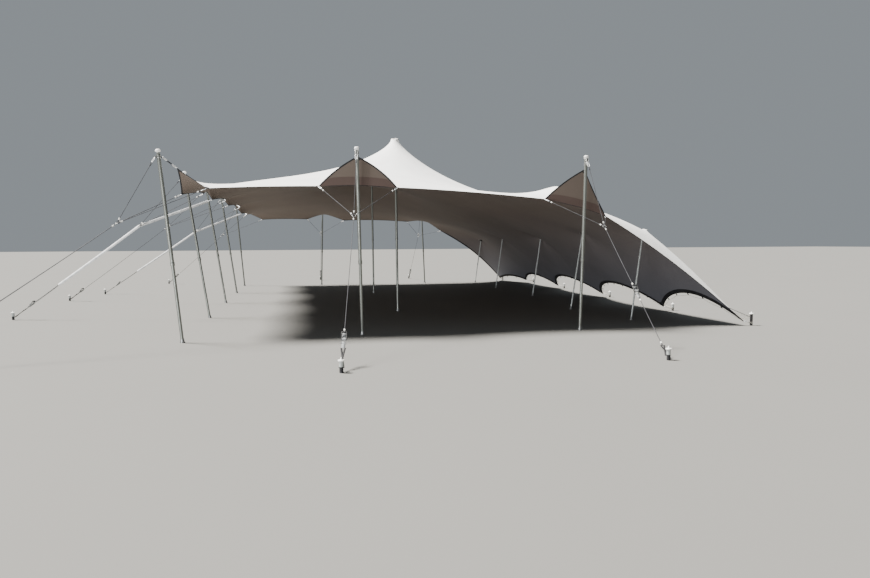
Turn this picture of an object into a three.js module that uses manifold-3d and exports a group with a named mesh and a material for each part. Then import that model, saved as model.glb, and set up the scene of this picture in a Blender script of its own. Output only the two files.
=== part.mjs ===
// Stretch tent: one stretched fabric roof on sixteen poles, open at the front, the left and the
// back, and pulled down to the ground along the right side. Millimetres, +Z up.
// While it is laid out, X runs along the front from the left corner pole, and Y runs to the back.
import * as THREE from 'three';
import { mergeVertices } from 'three/addons/utils/BufferGeometryUtils.js';
import Module from 'manifold-3d';

const wasm = await Module();
wasm.setup();

// Driving sizes of the fabric.
const FABRIC_THICKNESS = 6;
const FABRIC_WIDTH = 10400;
const FABRIC_DEPTH = 14400;
const HEM_FOLD = 120;
const CELL_SIZE = 470;
const FINE_STEPS = 4;
const EDGE_TENSION = 7;
const GROUND_EDGE_TENSION = 2.3;
const SLOPE_EDGE_TENSION = 9;
const BAND_TENSION = 4;
const FRONT_BAND_TENSION = 120;
const FULLNESS = 0.012;
const EDGE_FULLNESS = 0.38;
const EDGE_FULLNESS_REACH = 600;
const SLOPE_FULLNESS = 0.9;
const SLOPE_FULLNESS_START = 600;
const SLOPE_FULLNESS_REACH = 1200;
const SLOPE_LEAN = 0.5;
const PATCH_RADIUS = 110;
const HUNG_PATCH_RADIUS = 80;
const HUNG_PATCH_CONE = 600;
const LAST_PEAK_FOOT = 7210;
const START_HEIGHT = 2300;
const START_SLOPE = 0.1;
const CLEARANCE = 0.3;

// Driving sizes of the poles, ropes and stakes.
const POLE_SIDES = 10;
const FRONT_POLE_RADIUS = 28;
const SIDE_POLE_RADIUS = 26;
const CENTRE_POLE_RADIUS = 28;
const WALL_POLE_RADIUS = 18;
const BASE_PLATE_MARGIN = 14;
const BASE_PLATE_THICKNESS = 12;
const HEAD_CAP_RADIUS = 43;
const HEAD_CAP_HEIGHT = 44;
const ROPE_RADIUS = 6;
const STRAP_WIDTH = 50;
const STRAP_THICKNESS = 5;
const STRAP_LAP = 20;
const STAKE_RADIUS = 15;
const STAKE_HEIGHT = 190;
const END_STAKE_HEIGHT = 260;
const STAKE_CAP_RADIUS = 36;
const STAKE_CAP_HEIGHT = 80;

// Where the poles stand and lean: the foot on the ground and the top of the head.
const POLES = {
  front_left: { foot: [0, 0], head: [-230, -250, 2990], radius: FRONT_POLE_RADIUS },
  front_middle: { foot: [2870, 260], head: [2760, -250, 3100], radius: FRONT_POLE_RADIUS },
  front_right: { foot: [6690, -100], head: [6710, -250, 3050], radius: FRONT_POLE_RADIUS },
  left_1: { foot: [0, 3600], head: [-420, 3560, 3050], radius: SIDE_POLE_RADIUS },
  left_2: { foot: [0, 7200], head: [-420, 7200, 3050], radius: SIDE_POLE_RADIUS },
  left_3: { foot: [0, 10800], head: [-400, 10800, 3050], radius: SIDE_POLE_RADIUS },
  back_left: { foot: [0, 14400], head: [-250, 14650, 2990], radius: SIDE_POLE_RADIUS },
  back_middle: { foot: [2800, 14300], head: [2900, 14650, 3050], radius: SIDE_POLE_RADIUS },
  back_right: { foot: [6750, 14300], head: [6700, 14650, 3000], radius: SIDE_POLE_RADIUS },
};
const INNER_POLES = {
  centre_front: { foot: [4070, 4000], head: [4040, 4000, 3910], radius: CENTRE_POLE_RADIUS },
  centre_back: { foot: [4200, 9640], head: [4170, 9640, 3910], radius: CENTRE_POLE_RADIUS },
  wall_1: { foot: [8320, 1070], head: [8560, 1070, 1810], radius: WALL_POLE_RADIUS },
  wall_2: { foot: [8050, 3400], head: [8330, 3400, 1790], radius: WALL_POLE_RADIUS },
  wall_3: { foot: [8560, 7290], head: [8820, 7290, 1790], radius: WALL_POLE_RADIUS },
  wall_4: { foot: [8610, 11020], head: [8860, 11020, 1780], radius: WALL_POLE_RADIUS },
  wall_5: { foot: [8760, 14210], head: [9000, 14210, 1680], radius: WALL_POLE_RADIUS },
};

// The lines across the fabric that its fixed points lie on, as it lies flat.
const LINES_X = [
  0, HEM_FOLD, 430, 2150, 2780, 3430, 4080, 6050, 6800, LAST_PEAK_FOOT, 8560, FABRIC_WIDTH,
];
const LINES_Y = [
  0, HEM_FOLD, 620, 1070, 2980, 3600, 4000, 4220, 6580, 7200, 7820, 9640, 10180, 10800, 11420,
  12900, 13780, FABRIC_DEPTH - HEM_FOLD, FABRIC_DEPTH,
];

// Points of the fabric's edge that are held: the line numbers, flat, and the place in the tent.
// A peak is hung from a pole's head, and each peak has a lower point on either side of it.
const HELD_EDGE = [
  { x: 0, y: 0, at: [0, 0, 2730] },
  { x: 430, y: 0, at: [430, 0, 2425] },
  { x: 2150, y: 0, at: [2158, 0, 2483] },
  { x: 2780, y: 0, at: [2790, -40, 2970] },
  { x: 3430, y: 0, at: [3455, 0, 2476] },
  { x: 6050, y: 0, at: [6050, 0, 2310] },
  { x: 6800, y: 0, at: [6800, 0, 2840] },
  { x: LAST_PEAK_FOOT, y: 0, at: [7210, 0, 2020] },
  { x: FABRIC_WIDTH, y: 0, at: [9850, -290, 90] },
  { x: FABRIC_WIDTH, y: 2980, at: [9900, 2500, 100] },
  { x: FABRIC_WIDTH, y: 6580, at: [10300, 6300, 100] },
  { x: FABRIC_WIDTH, y: 10180, at: [10500, 10000, 100] },
  { x: FABRIC_WIDTH, y: 12900, at: [10600, 13400, 100] },
  { x: FABRIC_WIDTH, y: FABRIC_DEPTH, at: [10100, 15200, 100] },
  { x: LAST_PEAK_FOOT, y: FABRIC_DEPTH, at: [7400, 14300, 2010] },
  { x: 6800, y: FABRIC_DEPTH, at: [6690, 14300, 2650] },
  { x: 6050, y: FABRIC_DEPTH, at: [6070, 14300, 2370] },
  { x: 3430, y: FABRIC_DEPTH, at: [3660, 14300, 2408] },
  { x: 2780, y: FABRIC_DEPTH, at: [2906, 14300, 2800] },
  { x: 2150, y: FABRIC_DEPTH, at: [2314, 14300, 2453] },
  { x: 430, y: FABRIC_DEPTH, at: [700, 14400, 2440] },
  { x: 0, y: FABRIC_DEPTH, at: [-30, 14400, 2780] },
  { x: 0, y: 13780, at: [140, 13780, 2575] },
  { x: 0, y: 11420, at: [160, 11420, 2525] },
  { x: 0, y: 10800, at: [-80, 10800, 2830] },
  { x: 0, y: 10180, at: [200, 10180, 2660] },
  { x: 0, y: 7820, at: [70, 7820, 2585] },
  { x: 0, y: 7200, at: [-100, 7200, 2830] },
  { x: 0, y: 6580, at: [110, 6580, 2630] },
  { x: 0, y: 4220, at: [50, 4220, 2515] },
  { x: 0, y: 3600, at: [-100, 3600, 2800] },
  { x: 0, y: 2980, at: [20, 2980, 2550] },
  { x: 0, y: 620, at: [-40, 620, 2370] },
];

// Peaks that a pole pushes up from below. Within `cone` of the pole the doubled patch keeps the
// slope even, so the fabric has no spike.
const PUSHED_PEAKS = [
  { x: 4080, y: 4000, pole: 'centre_front', cone: 700 },
  { x: 4080, y: 9640, pole: 'centre_back', cone: 700 },
  { x: 8560, y: 1070, pole: 'wall_1', cone: 900 },
  { x: 8560, y: 3600, pole: 'wall_2', cone: 400 },
  { x: 8560, y: 7200, pole: 'wall_3', cone: 400 },
  { x: 8560, y: 10800, pole: 'wall_4', cone: 400 },
  { x: 8560, y: 13780, pole: 'wall_5', cone: 400 },
];

// Peaks that hang from a pole's head, flat. A doubled patch is sewn into each of them too.
const HUNG_PEAKS = [
  [0, 0], [2780, 0], [6800, 0], [0, 3600], [0, 7200], [0, 10800],
  [0, FABRIC_DEPTH], [2780, FABRIC_DEPTH], [6800, FABRIC_DEPTH],
];

// Sewn bands that run straight across the foot of a hung peak, one hem fold in from the edge,
// from the held point on one side of it to the one on the other.
const BANDS_ALONG_X = [[2150, 3430], [6050, LAST_PEAK_FOOT]];
const BANDS_ALONG_Y = [[2980, 4220], [6580, 7820], [10180, 11420]];

// Guys: from the pole's head and two points of the edge to a ring, and on to a stake. `ratchetAt`
// is how far up the line its ratchet is, where that isn't just above the stake. `strapFrom` is how
// far up it a strap starts, which goes through the ring and on as the last leg.
const GUYS = {
  front_left: {
    ring: [-760, -600, 1860],
    stake: [-3000, -2000],
    holds: [[0, 0], [430, 0], [0, 620]],
  },
  front_middle: {
    ring: [2652, -800, 1973],
    stake: [2270, -3060],
    holds: [[2780, 0], [2150, 0], [3430, 0]],
  },
  front_right: {
    ring: [6744, -900, 1812],
    stake: [6540, -3200],
    ratchetAt: 1280,
    holds: [[6800, 0], [6050, 0], [LAST_PEAK_FOOT, 0]],
  },
  left_1: {
    ring: [-1300, 3500, 1930],
    stake: [-3960, 4230],
    strapFrom: 1200,
    holds: [[0, 3600], [0, 2980], [0, 4220]],
  },
  left_2: {
    ring: [-1400, 7200, 1990],
    stake: [-4300, 9000],
    holds: [[0, 7200], [0, 6580], [0, 7820]],
  },
  left_3: {
    ring: [-1200, 10850, 1930],
    stake: [-4000, 11400],
    strapFrom: 1200,
    holds: [[0, 10800], [0, 10180], [0, 11420]],
  },
  back_left: {
    ring: [-800, 15000, 1870],
    stake: [-3000, 16600],
    holds: [[0, FABRIC_DEPTH], [430, FABRIC_DEPTH], [0, 13780]],
  },
  back_middle: {
    ring: [2850, 15300, 1930],
    stake: [2900, 17600],
    holds: [[2780, FABRIC_DEPTH], [2150, FABRIC_DEPTH], [3430, FABRIC_DEPTH]],
  },
  back_right: {
    ring: [6700, 15300, 1850],
    stake: [6700, 17600],
    holds: [[6800, FABRIC_DEPTH], [6050, FABRIC_DEPTH], [LAST_PEAK_FOOT, FABRIC_DEPTH]],
  },
};

// Stakes along the grounded side, and the point of the edge that each one holds.
const WALL_STAKES = [
  { stake: [10020, -280], holds: [FABRIC_WIDTH, 0], height: END_STAKE_HEIGHT },
  { stake: [10110, 2470], holds: [FABRIC_WIDTH, 2980] },
  { stake: [10480, 6250], holds: [FABRIC_WIDTH, 6580] },
  { stake: [10690, 9960], holds: [FABRIC_WIDTH, 10180] },
  { stake: [10950, 13600], holds: [FABRIC_WIDTH, 12900] },
  { stake: [10340, 15600], holds: [FABRIC_WIDTH, FABRIC_DEPTH], height: END_STAKE_HEIGHT },
];

const aluminium = new THREE.MeshStandardMaterial({ color: 0xb9bcbd, metalness: 0.9, roughness: 0.38 });
const canvas = new THREE.MeshStandardMaterial({ color: 0xd9d6d0, metalness: 0, roughness: 0.85 });
const rope = new THREE.MeshStandardMaterial({ color: 0x3a3a3c, metalness: 0, roughness: 0.9 });
const strap = new THREE.MeshStandardMaterial({ color: 0xe6e7e8, metalness: 0, roughness: 0.8 });
const steel = new THREE.MeshStandardMaterial({ color: 0x4a4947, metalness: 0.7, roughness: 0.55 });

const vec = (p) => new THREE.Vector3(p[0], p[1], p[2] ?? 0);

// Closed three.js geometry to a solid that can be joined and cut, and back again.
function solid(geometry) {
  const bare = geometry.index ? geometry.toNonIndexed() : geometry.clone();
  for (const name of Object.keys(bare.attributes)) {
    if (name !== 'position') bare.deleteAttribute(name);
  }
  const merged = mergeVertices(bare, 1e-3);
  const vertProperties = new Float32Array(merged.attributes.position.array);
  const triVerts = new Uint32Array(merged.index.array);
  return new wasm.Manifold(new wasm.Mesh({ numProp: 3, vertProperties, triVerts }));
}

function join(solids) {
  return solids.reduce((whole, piece) => whole.add(piece));
}

function largest(shape) {
  const pieces = shape.decompose();
  return pieces.reduce((best, piece) => (piece.volume() > best.volume() ? piece : best));
}

function meshOf(name, shape, material) {
  const { vertProperties, triVerts } = shape.getMesh();
  const geometry = new THREE.BufferGeometry();
  geometry.setAttribute('position', new THREE.BufferAttribute(vertProperties, 3));
  geometry.setIndex(new THREE.BufferAttribute(triVerts, 1));
  geometry.computeVertexNormals();
  const mesh = new THREE.Mesh(geometry, material);
  mesh.name = name;
  return mesh;
}

// A turned piece whose own axis is +Z, moved so that it starts at `from` and points along `along`.
function placed(geometry, from, along) {
  const turn = new THREE.Quaternion().setFromUnitVectors(new THREE.Vector3(0, 0, 1), along);
  geometry.applyQuaternion(turn);
  return geometry.translate(from.x, from.y, from.z);
}

function turned(profile, sides) {
  const outline = profile.map(([radius, height]) => new THREE.Vector2(radius, height));
  return new THREE.LatheGeometry(outline, sides).rotateX(Math.PI / 2);
}

function rod(from, to, radius, sides = 6) {
  const along = to.clone().sub(from);
  const length = along.length();
  const profile = [[0, 0], [radius, 0], [radius, length], [0, length]];
  return solid(placed(turned(profile, sides), from, along.normalize()));
}

// The numbers of the fine grid's lines: each stretch between two fixed lines is cut into cells,
// and each cell into FINE_STEPS.
function gridLines(fixedLines) {
  const lines = [0];
  for (let k = 1; k < fixedLines.length; k += 1) {
    const start = fixedLines[k - 1];
    const stretch = fixedLines[k] - start;
    const steps = Math.max(1, Math.round(stretch / CELL_SIZE)) * FINE_STEPS;
    for (let step = 1; step <= steps; step += 1) lines.push(start + (stretch * step) / steps);
  }
  return lines;
}

const gridX = gridLines(LINES_X);
const gridY = gridLines(LINES_Y);
const columns = gridX.length;
const rows = gridY.length;
const nodeAt = (i, j) => j * columns + i;
const lineIndex = (lines, value) => lines.findIndex((line) => Math.abs(line - value) < 1e-6);

// How much stiffer than plain fabric the doubled patches make a point.
function patchStiffness(x, y) {
  let most = 1;
  for (const peak of PUSHED_PEAKS) {
    most = Math.max(most, peak.cone / Math.max(Math.hypot(x - peak.x, y - peak.y), PATCH_RADIUS));
  }
  for (const [px, py] of HUNG_PEAKS) {
    most = Math.max(most, HUNG_PATCH_CONE / Math.max(Math.hypot(x - px, y - py), HUNG_PATCH_RADIUS));
  }
  return most;
}

// How much more the cloth bows up than a tight film would, in curvature per metre. The stretched
// fabric is fuller beside its hung edges.
function fullness(x, y) {
  const toEdge = Math.min(x, y, FABRIC_DEPTH - y);
  return FULLNESS + EDGE_FULLNESS * Math.exp(-toEdge / EDGE_FULLNESS_REACH);
}

// The slope down to the ground is fuller still beside its front and back edges, where it bows
// outwards as well as up.
function slopeFullness(x, y) {
  const share = Math.min(1, Math.max(0, (x - LAST_PEAK_FOOT) / SLOPE_FULLNESS_START));
  const toEdge = Math.min(y, FABRIC_DEPTH - y);
  return SLOPE_FULLNESS * share * Math.exp(-toEdge / SLOPE_FULLNESS_REACH);
}

// The pull of the edge webbing or of a sewn band in a stretch of grid line along X, and along Y.
const within = (spans, value) => spans.some(([start, end]) => value > start && value < end);

function webbingAlongX(x, y) {
  if (y === 0 || y === FABRIC_DEPTH) return x > LAST_PEAK_FOOT ? SLOPE_EDGE_TENSION : EDGE_TENSION;
  if (!within(BANDS_ALONG_X, x)) return 0;
  if (y === HEM_FOLD) return FRONT_BAND_TENSION;
  return y === FABRIC_DEPTH - HEM_FOLD ? BAND_TENSION : 0;
}

function webbingAlongY(x, y) {
  if (x === 0) return EDGE_TENSION;
  if (x === FABRIC_WIDTH) return GROUND_EDGE_TENSION;
  if (x === HEM_FOLD) return within(BANDS_ALONG_Y, y) ? BAND_TENSION : 0;
  if (!BANDS_ALONG_X.flat().includes(x)) return 0;
  if (y < HEM_FOLD) return FRONT_BAND_TENSION;
  return y > FABRIC_DEPTH - HEM_FOLD ? BAND_TENSION : 0;
}

// The fabric's shape is the one that its own tension pulls it into between the fixed points.
// Each grid line pulls on its neighbours in proportion to the strip of fabric that it stands for.
function relaxedFabric() {
  const place = [];
  for (let j = 0; j < rows; j += 1) {
    for (let i = 0; i < columns; i += 1) {
      place.push([gridX[i], gridY[j], START_HEIGHT - START_SLOPE * gridX[i]]);
    }
  }
  const fixed = new Uint8Array(columns * rows);
  const hold = (i, j, at) => {
    place[nodeAt(i, j)] = [...at];
    fixed[nodeAt(i, j)] = 1;
  };
  for (const { x, y, at } of HELD_EDGE) hold(lineIndex(gridX, x), lineIndex(gridY, y), at);
  for (const peak of PUSHED_PEAKS) {
    const top = INNER_POLES[peak.pole].head;
    for (let j = 0; j < rows; j += 1) {
      for (let i = 0; i < columns; i += 1) {
        const dx = gridX[i] - peak.x;
        const dy = gridY[j] - peak.y;
        if (Math.hypot(dx, dy) < PATCH_RADIUS) hold(i, j, [top[0] + dx, top[1] + dy, top[2]]);
      }
    }
  }
  const stiffness = new Float64Array(columns * rows);
  const half = (lines, k) => ((lines[k + 1] ?? lines[k]) - (lines[k - 1] ?? lines[k])) / 2;
  const pullX = new Float64Array(columns * rows);
  const pullY = new Float64Array(columns * rows);
  const load = [];
  for (let j = 0; j < rows; j += 1) {
    for (let i = 0; i < columns; i += 1) {
      stiffness[nodeAt(i, j)] = patchStiffness(gridX[i], gridY[j]);
      const area = half(gridX, i) * half(gridY, j);
      const slope = slopeFullness(gridX[i], gridY[j]);
      load.push([SLOPE_LEAN * slope, 0, fullness(gridX[i], gridY[j]) + slope].map((l) => (l * area) / 1000));
    }
  }
  for (let j = 0; j < rows; j += 1) {
    for (let i = 0; i < columns; i += 1) {
      const here = nodeAt(i, j);
      if (i + 1 < columns) {
        const length = gridX[i + 1] - gridX[i];
        const webbing = 1000 * webbingAlongX(gridX[i] + length / 2, gridY[j]);
        const stiff = (stiffness[here] + stiffness[nodeAt(i + 1, j)]) / 2;
        pullX[here] = (half(gridY, j) * stiff + webbing) / length;
      }
      if (j + 1 < rows) {
        const length = gridY[j + 1] - gridY[j];
        const webbing = 1000 * webbingAlongY(gridX[i], gridY[j] + length / 2);
        const stiff = (stiffness[here] + stiffness[nodeAt(i, j + 1)]) / 2;
        pullY[here] = (half(gridX, i) * stiff + webbing) / length;
      }
    }
  }
  const RELAX_ROUNDS = 900;
  const OVERSHOOT = 1.95;
  for (let round = 0; round < RELAX_ROUNDS; round += 1) {
    for (let j = 0; j < rows; j += 1) {
      for (let i = 0; i < columns; i += 1) {
        const here = nodeAt(i, j);
        if (fixed[here]) continue;
        const links = [];
        if (i > 0) links.push([here - 1, pullX[here - 1]]);
        if (i + 1 < columns) links.push([here + 1, pullX[here]]);
        if (j > 0) links.push([here - columns, pullY[here - columns]]);
        if (j + 1 < rows) links.push([here + columns, pullY[here]]);
        let total = 0;
        const sum = [...load[here]];
        for (const [other, pull] of links) {
          total += pull;
          for (let k = 0; k < 3; k += 1) sum[k] += pull * place[other][k];
        }
        for (let k = 0; k < 3; k += 1) {
          place[here][k] += OVERSHOOT * (sum[k] / total - place[here][k]);
        }
      }
    }
  }
  return place;
}

const fabric = relaxedFabric();

// The roof is modelled on every FINE_STEPS-th line of the fine grid.
const wide = (columns - 1) / FINE_STEPS + 1;
const deep = (rows - 1) / FINE_STEPS + 1;
const coarse = (i, j) => fabric[nodeAt(i * FINE_STEPS, j * FINE_STEPS)];

// The numbers of the points round the roof's edge, in order.
function rimNumbers() {
  const rim = [];
  for (let i = 0; i < wide; i += 1) rim.push(i);
  for (let j = 1; j < deep; j += 1) rim.push(j * wide + wide - 1);
  for (let i = wide - 2; i >= 0; i -= 1) rim.push((deep - 1) * wide + i);
  for (let j = deep - 2; j > 0; j -= 1) rim.push(j * wide);
  return rim;
}

// The roof as a closed solid of a given thickness.
function fabricSolid(thickness) {
  const positions = [];
  const faces = [];
  for (let j = 0; j < deep; j += 1) {
    for (let i = 0; i < wide; i += 1) positions.push(...coarse(i, j));
  }
  for (let j = 0; j + 1 < deep; j += 1) {
    for (let i = 0; i + 1 < wide; i += 1) {
      const a = j * wide + i;
      const b = a + 1;
      const c = a + wide;
      const d = c + 1;
      faces.push(a, b, d, a, d, c);
    }
  }
  const sheet = new THREE.BufferGeometry();
  sheet.setAttribute('position', new THREE.Float32BufferAttribute(positions, 3));
  sheet.setIndex(faces);
  sheet.computeVertexNormals();
  const normals = sheet.attributes.normal.array;
  const count = wide * deep;
  const both = [];
  for (const side of [1, -1]) {
    const offset = (side * thickness) / 2;
    for (let k = 0; k < 3 * count; k += 1) both.push(positions[k] + offset * normals[k]);
  }
  const closed = [...faces];
  for (let k = 0; k < faces.length; k += 3) {
    closed.push(faces[k] + count, faces[k + 2] + count, faces[k + 1] + count);
  }
  rimNumbers().forEach((a, k, rim) => {
    const b = rim[(k + 1) % rim.length];
    closed.push(b, a, a + count, b, a + count, b + count);
  });
  const geometry = new THREE.BufferGeometry();
  geometry.setAttribute('position', new THREE.Float32BufferAttribute(both, 3));
  geometry.setIndex(closed);
  return solid(geometry);
}

const roof = fabricSolid(FABRIC_THICKNESS);
const roofRoom = fabricSolid(FABRIC_THICKNESS + 2 * CLEARANCE);

// Pole: a base plate flat on the ground and a leaning tube with a collar and a domed head.
function poleAxis({ foot, head }) {
  const start = new THREE.Vector3(foot[0], foot[1], BASE_PLATE_THICKNESS / 2);
  const along = vec(head).sub(start);
  return { start, length: along.length(), along: along.normalize() };
}

function basePlate({ foot: [x, y], radius }) {
  const edge = radius + BASE_PLATE_MARGIN;
  const profile = [[0, 0], [edge, 0], [edge, BASE_PLATE_THICKNESS], [0, BASE_PLATE_THICKNESS]];
  return solid(turned(profile, 12).translate(x, y, 0));
}

const COLLAR_DROP = 110;
const COLLAR_HEIGHT = 20;
const COLLAR_WALL = 8;

function outerPole(pole) {
  const { start, length, along } = poleAxis(pole);
  const r = pole.radius;
  const collar = length - COLLAR_DROP;
  const cap = length - HEAD_CAP_HEIGHT;
  const profile = [
    [0, 0], [r, 0], [r, collar], [r + COLLAR_WALL, collar],
    [r + COLLAR_WALL, collar + COLLAR_HEIGHT], [r, collar + COLLAR_HEIGHT], [r, cap],
    [HEAD_CAP_RADIUS, cap], [HEAD_CAP_RADIUS * 0.94, cap + HEAD_CAP_HEIGHT * 0.5],
    [HEAD_CAP_RADIUS * 0.6, cap + HEAD_CAP_HEIGHT * 0.88], [0, length],
  ];
  return basePlate(pole).add(solid(placed(turned(profile, POLE_SIDES), start, along)));
}

const INNER_HEAD_MARGIN = 40;

function innerPole(pole) {
  const { start, length, along } = poleAxis(pole);
  const r = pole.radius;
  const capRadius = r + INNER_HEAD_MARGIN;
  const profile = [
    [0, 0], [r, 0], [r, length - 80], [capRadius, length - 40], [capRadius * 0.8, length - 12],
    [0, length],
  ];
  const whole = basePlate(pole).add(solid(placed(turned(profile, POLE_SIDES), start, along)));
  return largest(whole.subtract(roofRoom));
}

function heldAt([x, y]) {
  return vec(HELD_EDGE.find((point) => point.x === x && point.y === y).at);
}

// Hook at the fabric's edge: it swells from a point just clear of the fabric's rim and narrows
// again into its rope.
const HOOK_LENGTH = 90;
const HOOK_RADIUS = 20;
const HOOK_SWELL = HOOK_LENGTH * 0.6;

function hook(edge, towards) {
  const along = towards.clone().sub(edge).normalize();
  const profile = [[0, 0], [HOOK_RADIUS, HOOK_SWELL], [0, HOOK_LENGTH]];
  const tipAt = (gap) => {
    const tip = edge.clone().addScaledVector(along, gap);
    return solid(placed(turned(profile, 6), tip, along));
  };
  let gap = 2 * CLEARANCE;
  while (tipAt(gap).intersect(roofRoom).volume() > 0) gap += CLEARANCE;
  return tipAt(gap);
}

function toEdge(from, edge, line) {
  const hookEnd = edge.clone().add(from.clone().sub(edge).setLength(HOOK_SWELL));
  return line(from, hookEnd).add(hook(edge, from));
}

const ropeLine = (from, to) => rod(from, to, ROPE_RADIUS);

// A band round an upright or leaning bar, clear of it all round.
function band(start, along, radius, wall, height, sides) {
  const bore = radius + 2 * CLEARANCE;
  const outside = [[0, 0], [radius + wall, 0], [radius + wall, height], [0, height]];
  const inside = [[0, -1], [bore, -1], [bore, height + 1], [0, height + 1]];
  const inPlace = (profile) => solid(placed(turned(profile, sides), start, along));
  return inPlace(outside).subtract(inPlace(inside));
}

const STAKE_SIDES = 8;
const STAKE_LOOP_HEIGHT = 60;
const STAKE_LOOP_BASE = 20;
const STAKE_LOOP_WALL = 12;
const UP = new THREE.Vector3(0, 0, 1);

function stakeLoop([x, y]) {
  const base = new THREE.Vector3(x, y, STAKE_LOOP_BASE);
  return band(base, UP, STAKE_RADIUS, STAKE_LOOP_WALL, STAKE_LOOP_HEIGHT, STAKE_SIDES);
}

// A flat strap between two points, on edge: its thickness lies level.
function flatStrap(from, to) {
  const along = to.clone().sub(from);
  const length = along.length();
  along.normalize();
  const level = new THREE.Vector3().crossVectors(UP, along).normalize();
  const over = new THREE.Vector3().crossVectors(along, level);
  const frame = new THREE.Matrix4().makeBasis(level, over, along);
  const webbing = new THREE.BoxGeometry(STRAP_THICKNESS, STRAP_WIDTH, length);
  webbing.translate(0, 0, length / 2).applyMatrix4(frame).translate(from.x, from.y, from.z);
  return solid(webbing);
}

const RATCHET = { length: 130, width: 62, height: 45, fromStake: 455 };

function ratchet(stakeEnd, along, fromStake) {
  const level = new THREE.Vector3().crossVectors(UP, along).normalize();
  const over = new THREE.Vector3().crossVectors(along, level);
  const frame = new THREE.Matrix4().makeBasis(level, over, along);
  const centre = stakeEnd.clone().addScaledVector(along, fromStake);
  const body = new THREE.BoxGeometry(RATCHET.width, RATCHET.height, RATCHET.length);
  return solid(body.applyMatrix4(frame).translate(centre.x, centre.y, centre.z));
}

// Guy: a band under the pole's collar with an ear and a link to either side, a rope to the
// fabric's peak, two legs to the edge beside it, a ring where they meet, and a rope with a ratchet
// down to the stake's loop, whose upper part is a strap on a strap guy.
const HEAD_BAND_HEIGHT = 26;
const HEAD_BAND_WALL = 10;
const EAR_REACH = 40;
const EAR_RADIUS = 11;
const LINK_LENGTH = 140;
const LINK_RADIUS = 10;
const RING_RADIUS = 34;

function guyLine(name, guy) {
  const pole = POLES[name];
  const { start, length, along } = poleAxis(pole);
  const ring = vec(guy.ring);
  const bandTop = length - COLLAR_DROP - 2 * CLEARANCE;
  const bandBase = start.clone().addScaledVector(along, bandTop - HEAD_BAND_HEIGHT);
  const bandMiddle = bandBase.clone().addScaledVector(along, HEAD_BAND_HEIGHT / 2);
  const headBand = band(bandBase, along, pole.radius, HEAD_BAND_WALL, HEAD_BAND_HEIGHT, POLE_SIDES);
  const outFromPole = (target, reach) => {
    const away = target.clone().sub(bandMiddle);
    away.addScaledVector(along, -away.dot(along)).normalize();
    return bandMiddle.clone().addScaledVector(away, pole.radius + reach);
  };
  const [peak, ...edges] = guy.holds.map(heldAt);
  const pieces = [headBand];
  for (const target of [peak, ring]) {
    const ear = outFromPole(target, EAR_REACH);
    const linkLength = Math.min(LINK_LENGTH, ear.distanceTo(target) / 2);
    const linkEnd = ear.clone().add(target.clone().sub(ear).setLength(linkLength));
    pieces.push(rod(outFromPole(target, HEAD_BAND_WALL * 0.6), ear, EAR_RADIUS));
    pieces.push(rod(ear, linkEnd, LINK_RADIUS));
  }
  pieces.push(toEdge(outFromPole(peak, EAR_REACH), peak, ropeLine));
  pieces.push(ropeLine(outFromPole(ring, EAR_REACH), ring));
  pieces.push(toEdge(ring, edges[0], ropeLine));
  pieces.push(toEdge(ring, edges[1], guy.strapFrom ? flatStrap : ropeLine));
  pieces.push(solid(new THREE.IcosahedronGeometry(RING_RADIUS, 0).translate(ring.x, ring.y, ring.z)));
  const stakeEnd = vec([...guy.stake, STAKE_LOOP_BASE + STAKE_LOOP_HEIGHT / 2]);
  const back = ring.clone().sub(stakeEnd).normalize();
  const flat = new THREE.Vector3(back.x, back.y, 0).normalize();
  stakeEnd.addScaledVector(flat, STAKE_RADIUS + STAKE_LOOP_WALL * 0.6);
  if (guy.strapFrom) {
    const strapStart = stakeEnd.clone().addScaledVector(back, guy.strapFrom);
    pieces.push(flatStrap(strapStart, ring));
    pieces.push(ropeLine(stakeEnd, strapStart.addScaledVector(back, STRAP_LAP)));
  } else {
    pieces.push(ropeLine(stakeEnd, ring));
  }
  pieces.push(ratchet(stakeEnd, back, guy.ratchetAt ?? RATCHET.fromStake));
  pieces.push(stakeLoop(guy.stake));
  return join(pieces);
}

function stakeShape([x, y], top = STAKE_HEIGHT) {
  const r = STAKE_RADIUS;
  const capBase = top - STAKE_CAP_HEIGHT;
  const profile = [
    [0, 0], [r, 0], [r, capBase], [STAKE_CAP_RADIUS, capBase],
    [STAKE_CAP_RADIUS, top - STAKE_CAP_HEIGHT * 0.3], [STAKE_CAP_RADIUS * 0.7, top], [0, top],
  ];
  return solid(turned(profile, STAKE_SIDES).translate(x, y, 0));
}

const TIE_HEIGHT = 50;

// Stake of the grounded side, with the webbing tie that holds the fabric's edge.
function wallStake({ stake, holds, height }) {
  const tieStart = vec([...stake, TIE_HEIGHT]);
  const edge = heldAt(holds);
  return join([stakeShape(stake, height), toEdge(tieStart, edge, ropeLine)]);
}

const tent = new THREE.Group();
tent.add(meshOf('canopy', roof, canvas));
for (const [name, pole] of Object.entries(POLES)) {
  tent.add(meshOf(`pole_${name}`, outerPole(pole), aluminium));
}
for (const [name, pole] of Object.entries(INNER_POLES)) {
  tent.add(meshOf(`pole_${name}`, innerPole(pole), aluminium));
}
for (const [name, guy] of Object.entries(GUYS)) {
  tent.add(meshOf(`guy_${name}`, guyLine(name, guy), guy.strapFrom ? strap : rope));
  tent.add(meshOf(`stake_${name}`, stakeShape(guy.stake), steel));
}
WALL_STAKES.forEach((anchor, k) => tent.add(meshOf(`wall_stake_${k + 1}`, wallStake(anchor), steel)));

// The origin is on the ground at the middle of the whole footprint.
const footprint = new THREE.Box3().setFromObject(tent).getCenter(new THREE.Vector3());
tent.position.set(-footprint.x, -footprint.y, 0);
tent.updateMatrixWorld(true);

export default tent;
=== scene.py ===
import math

import bpy
import numpy as np
from mathutils import Matrix, Vector


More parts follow.
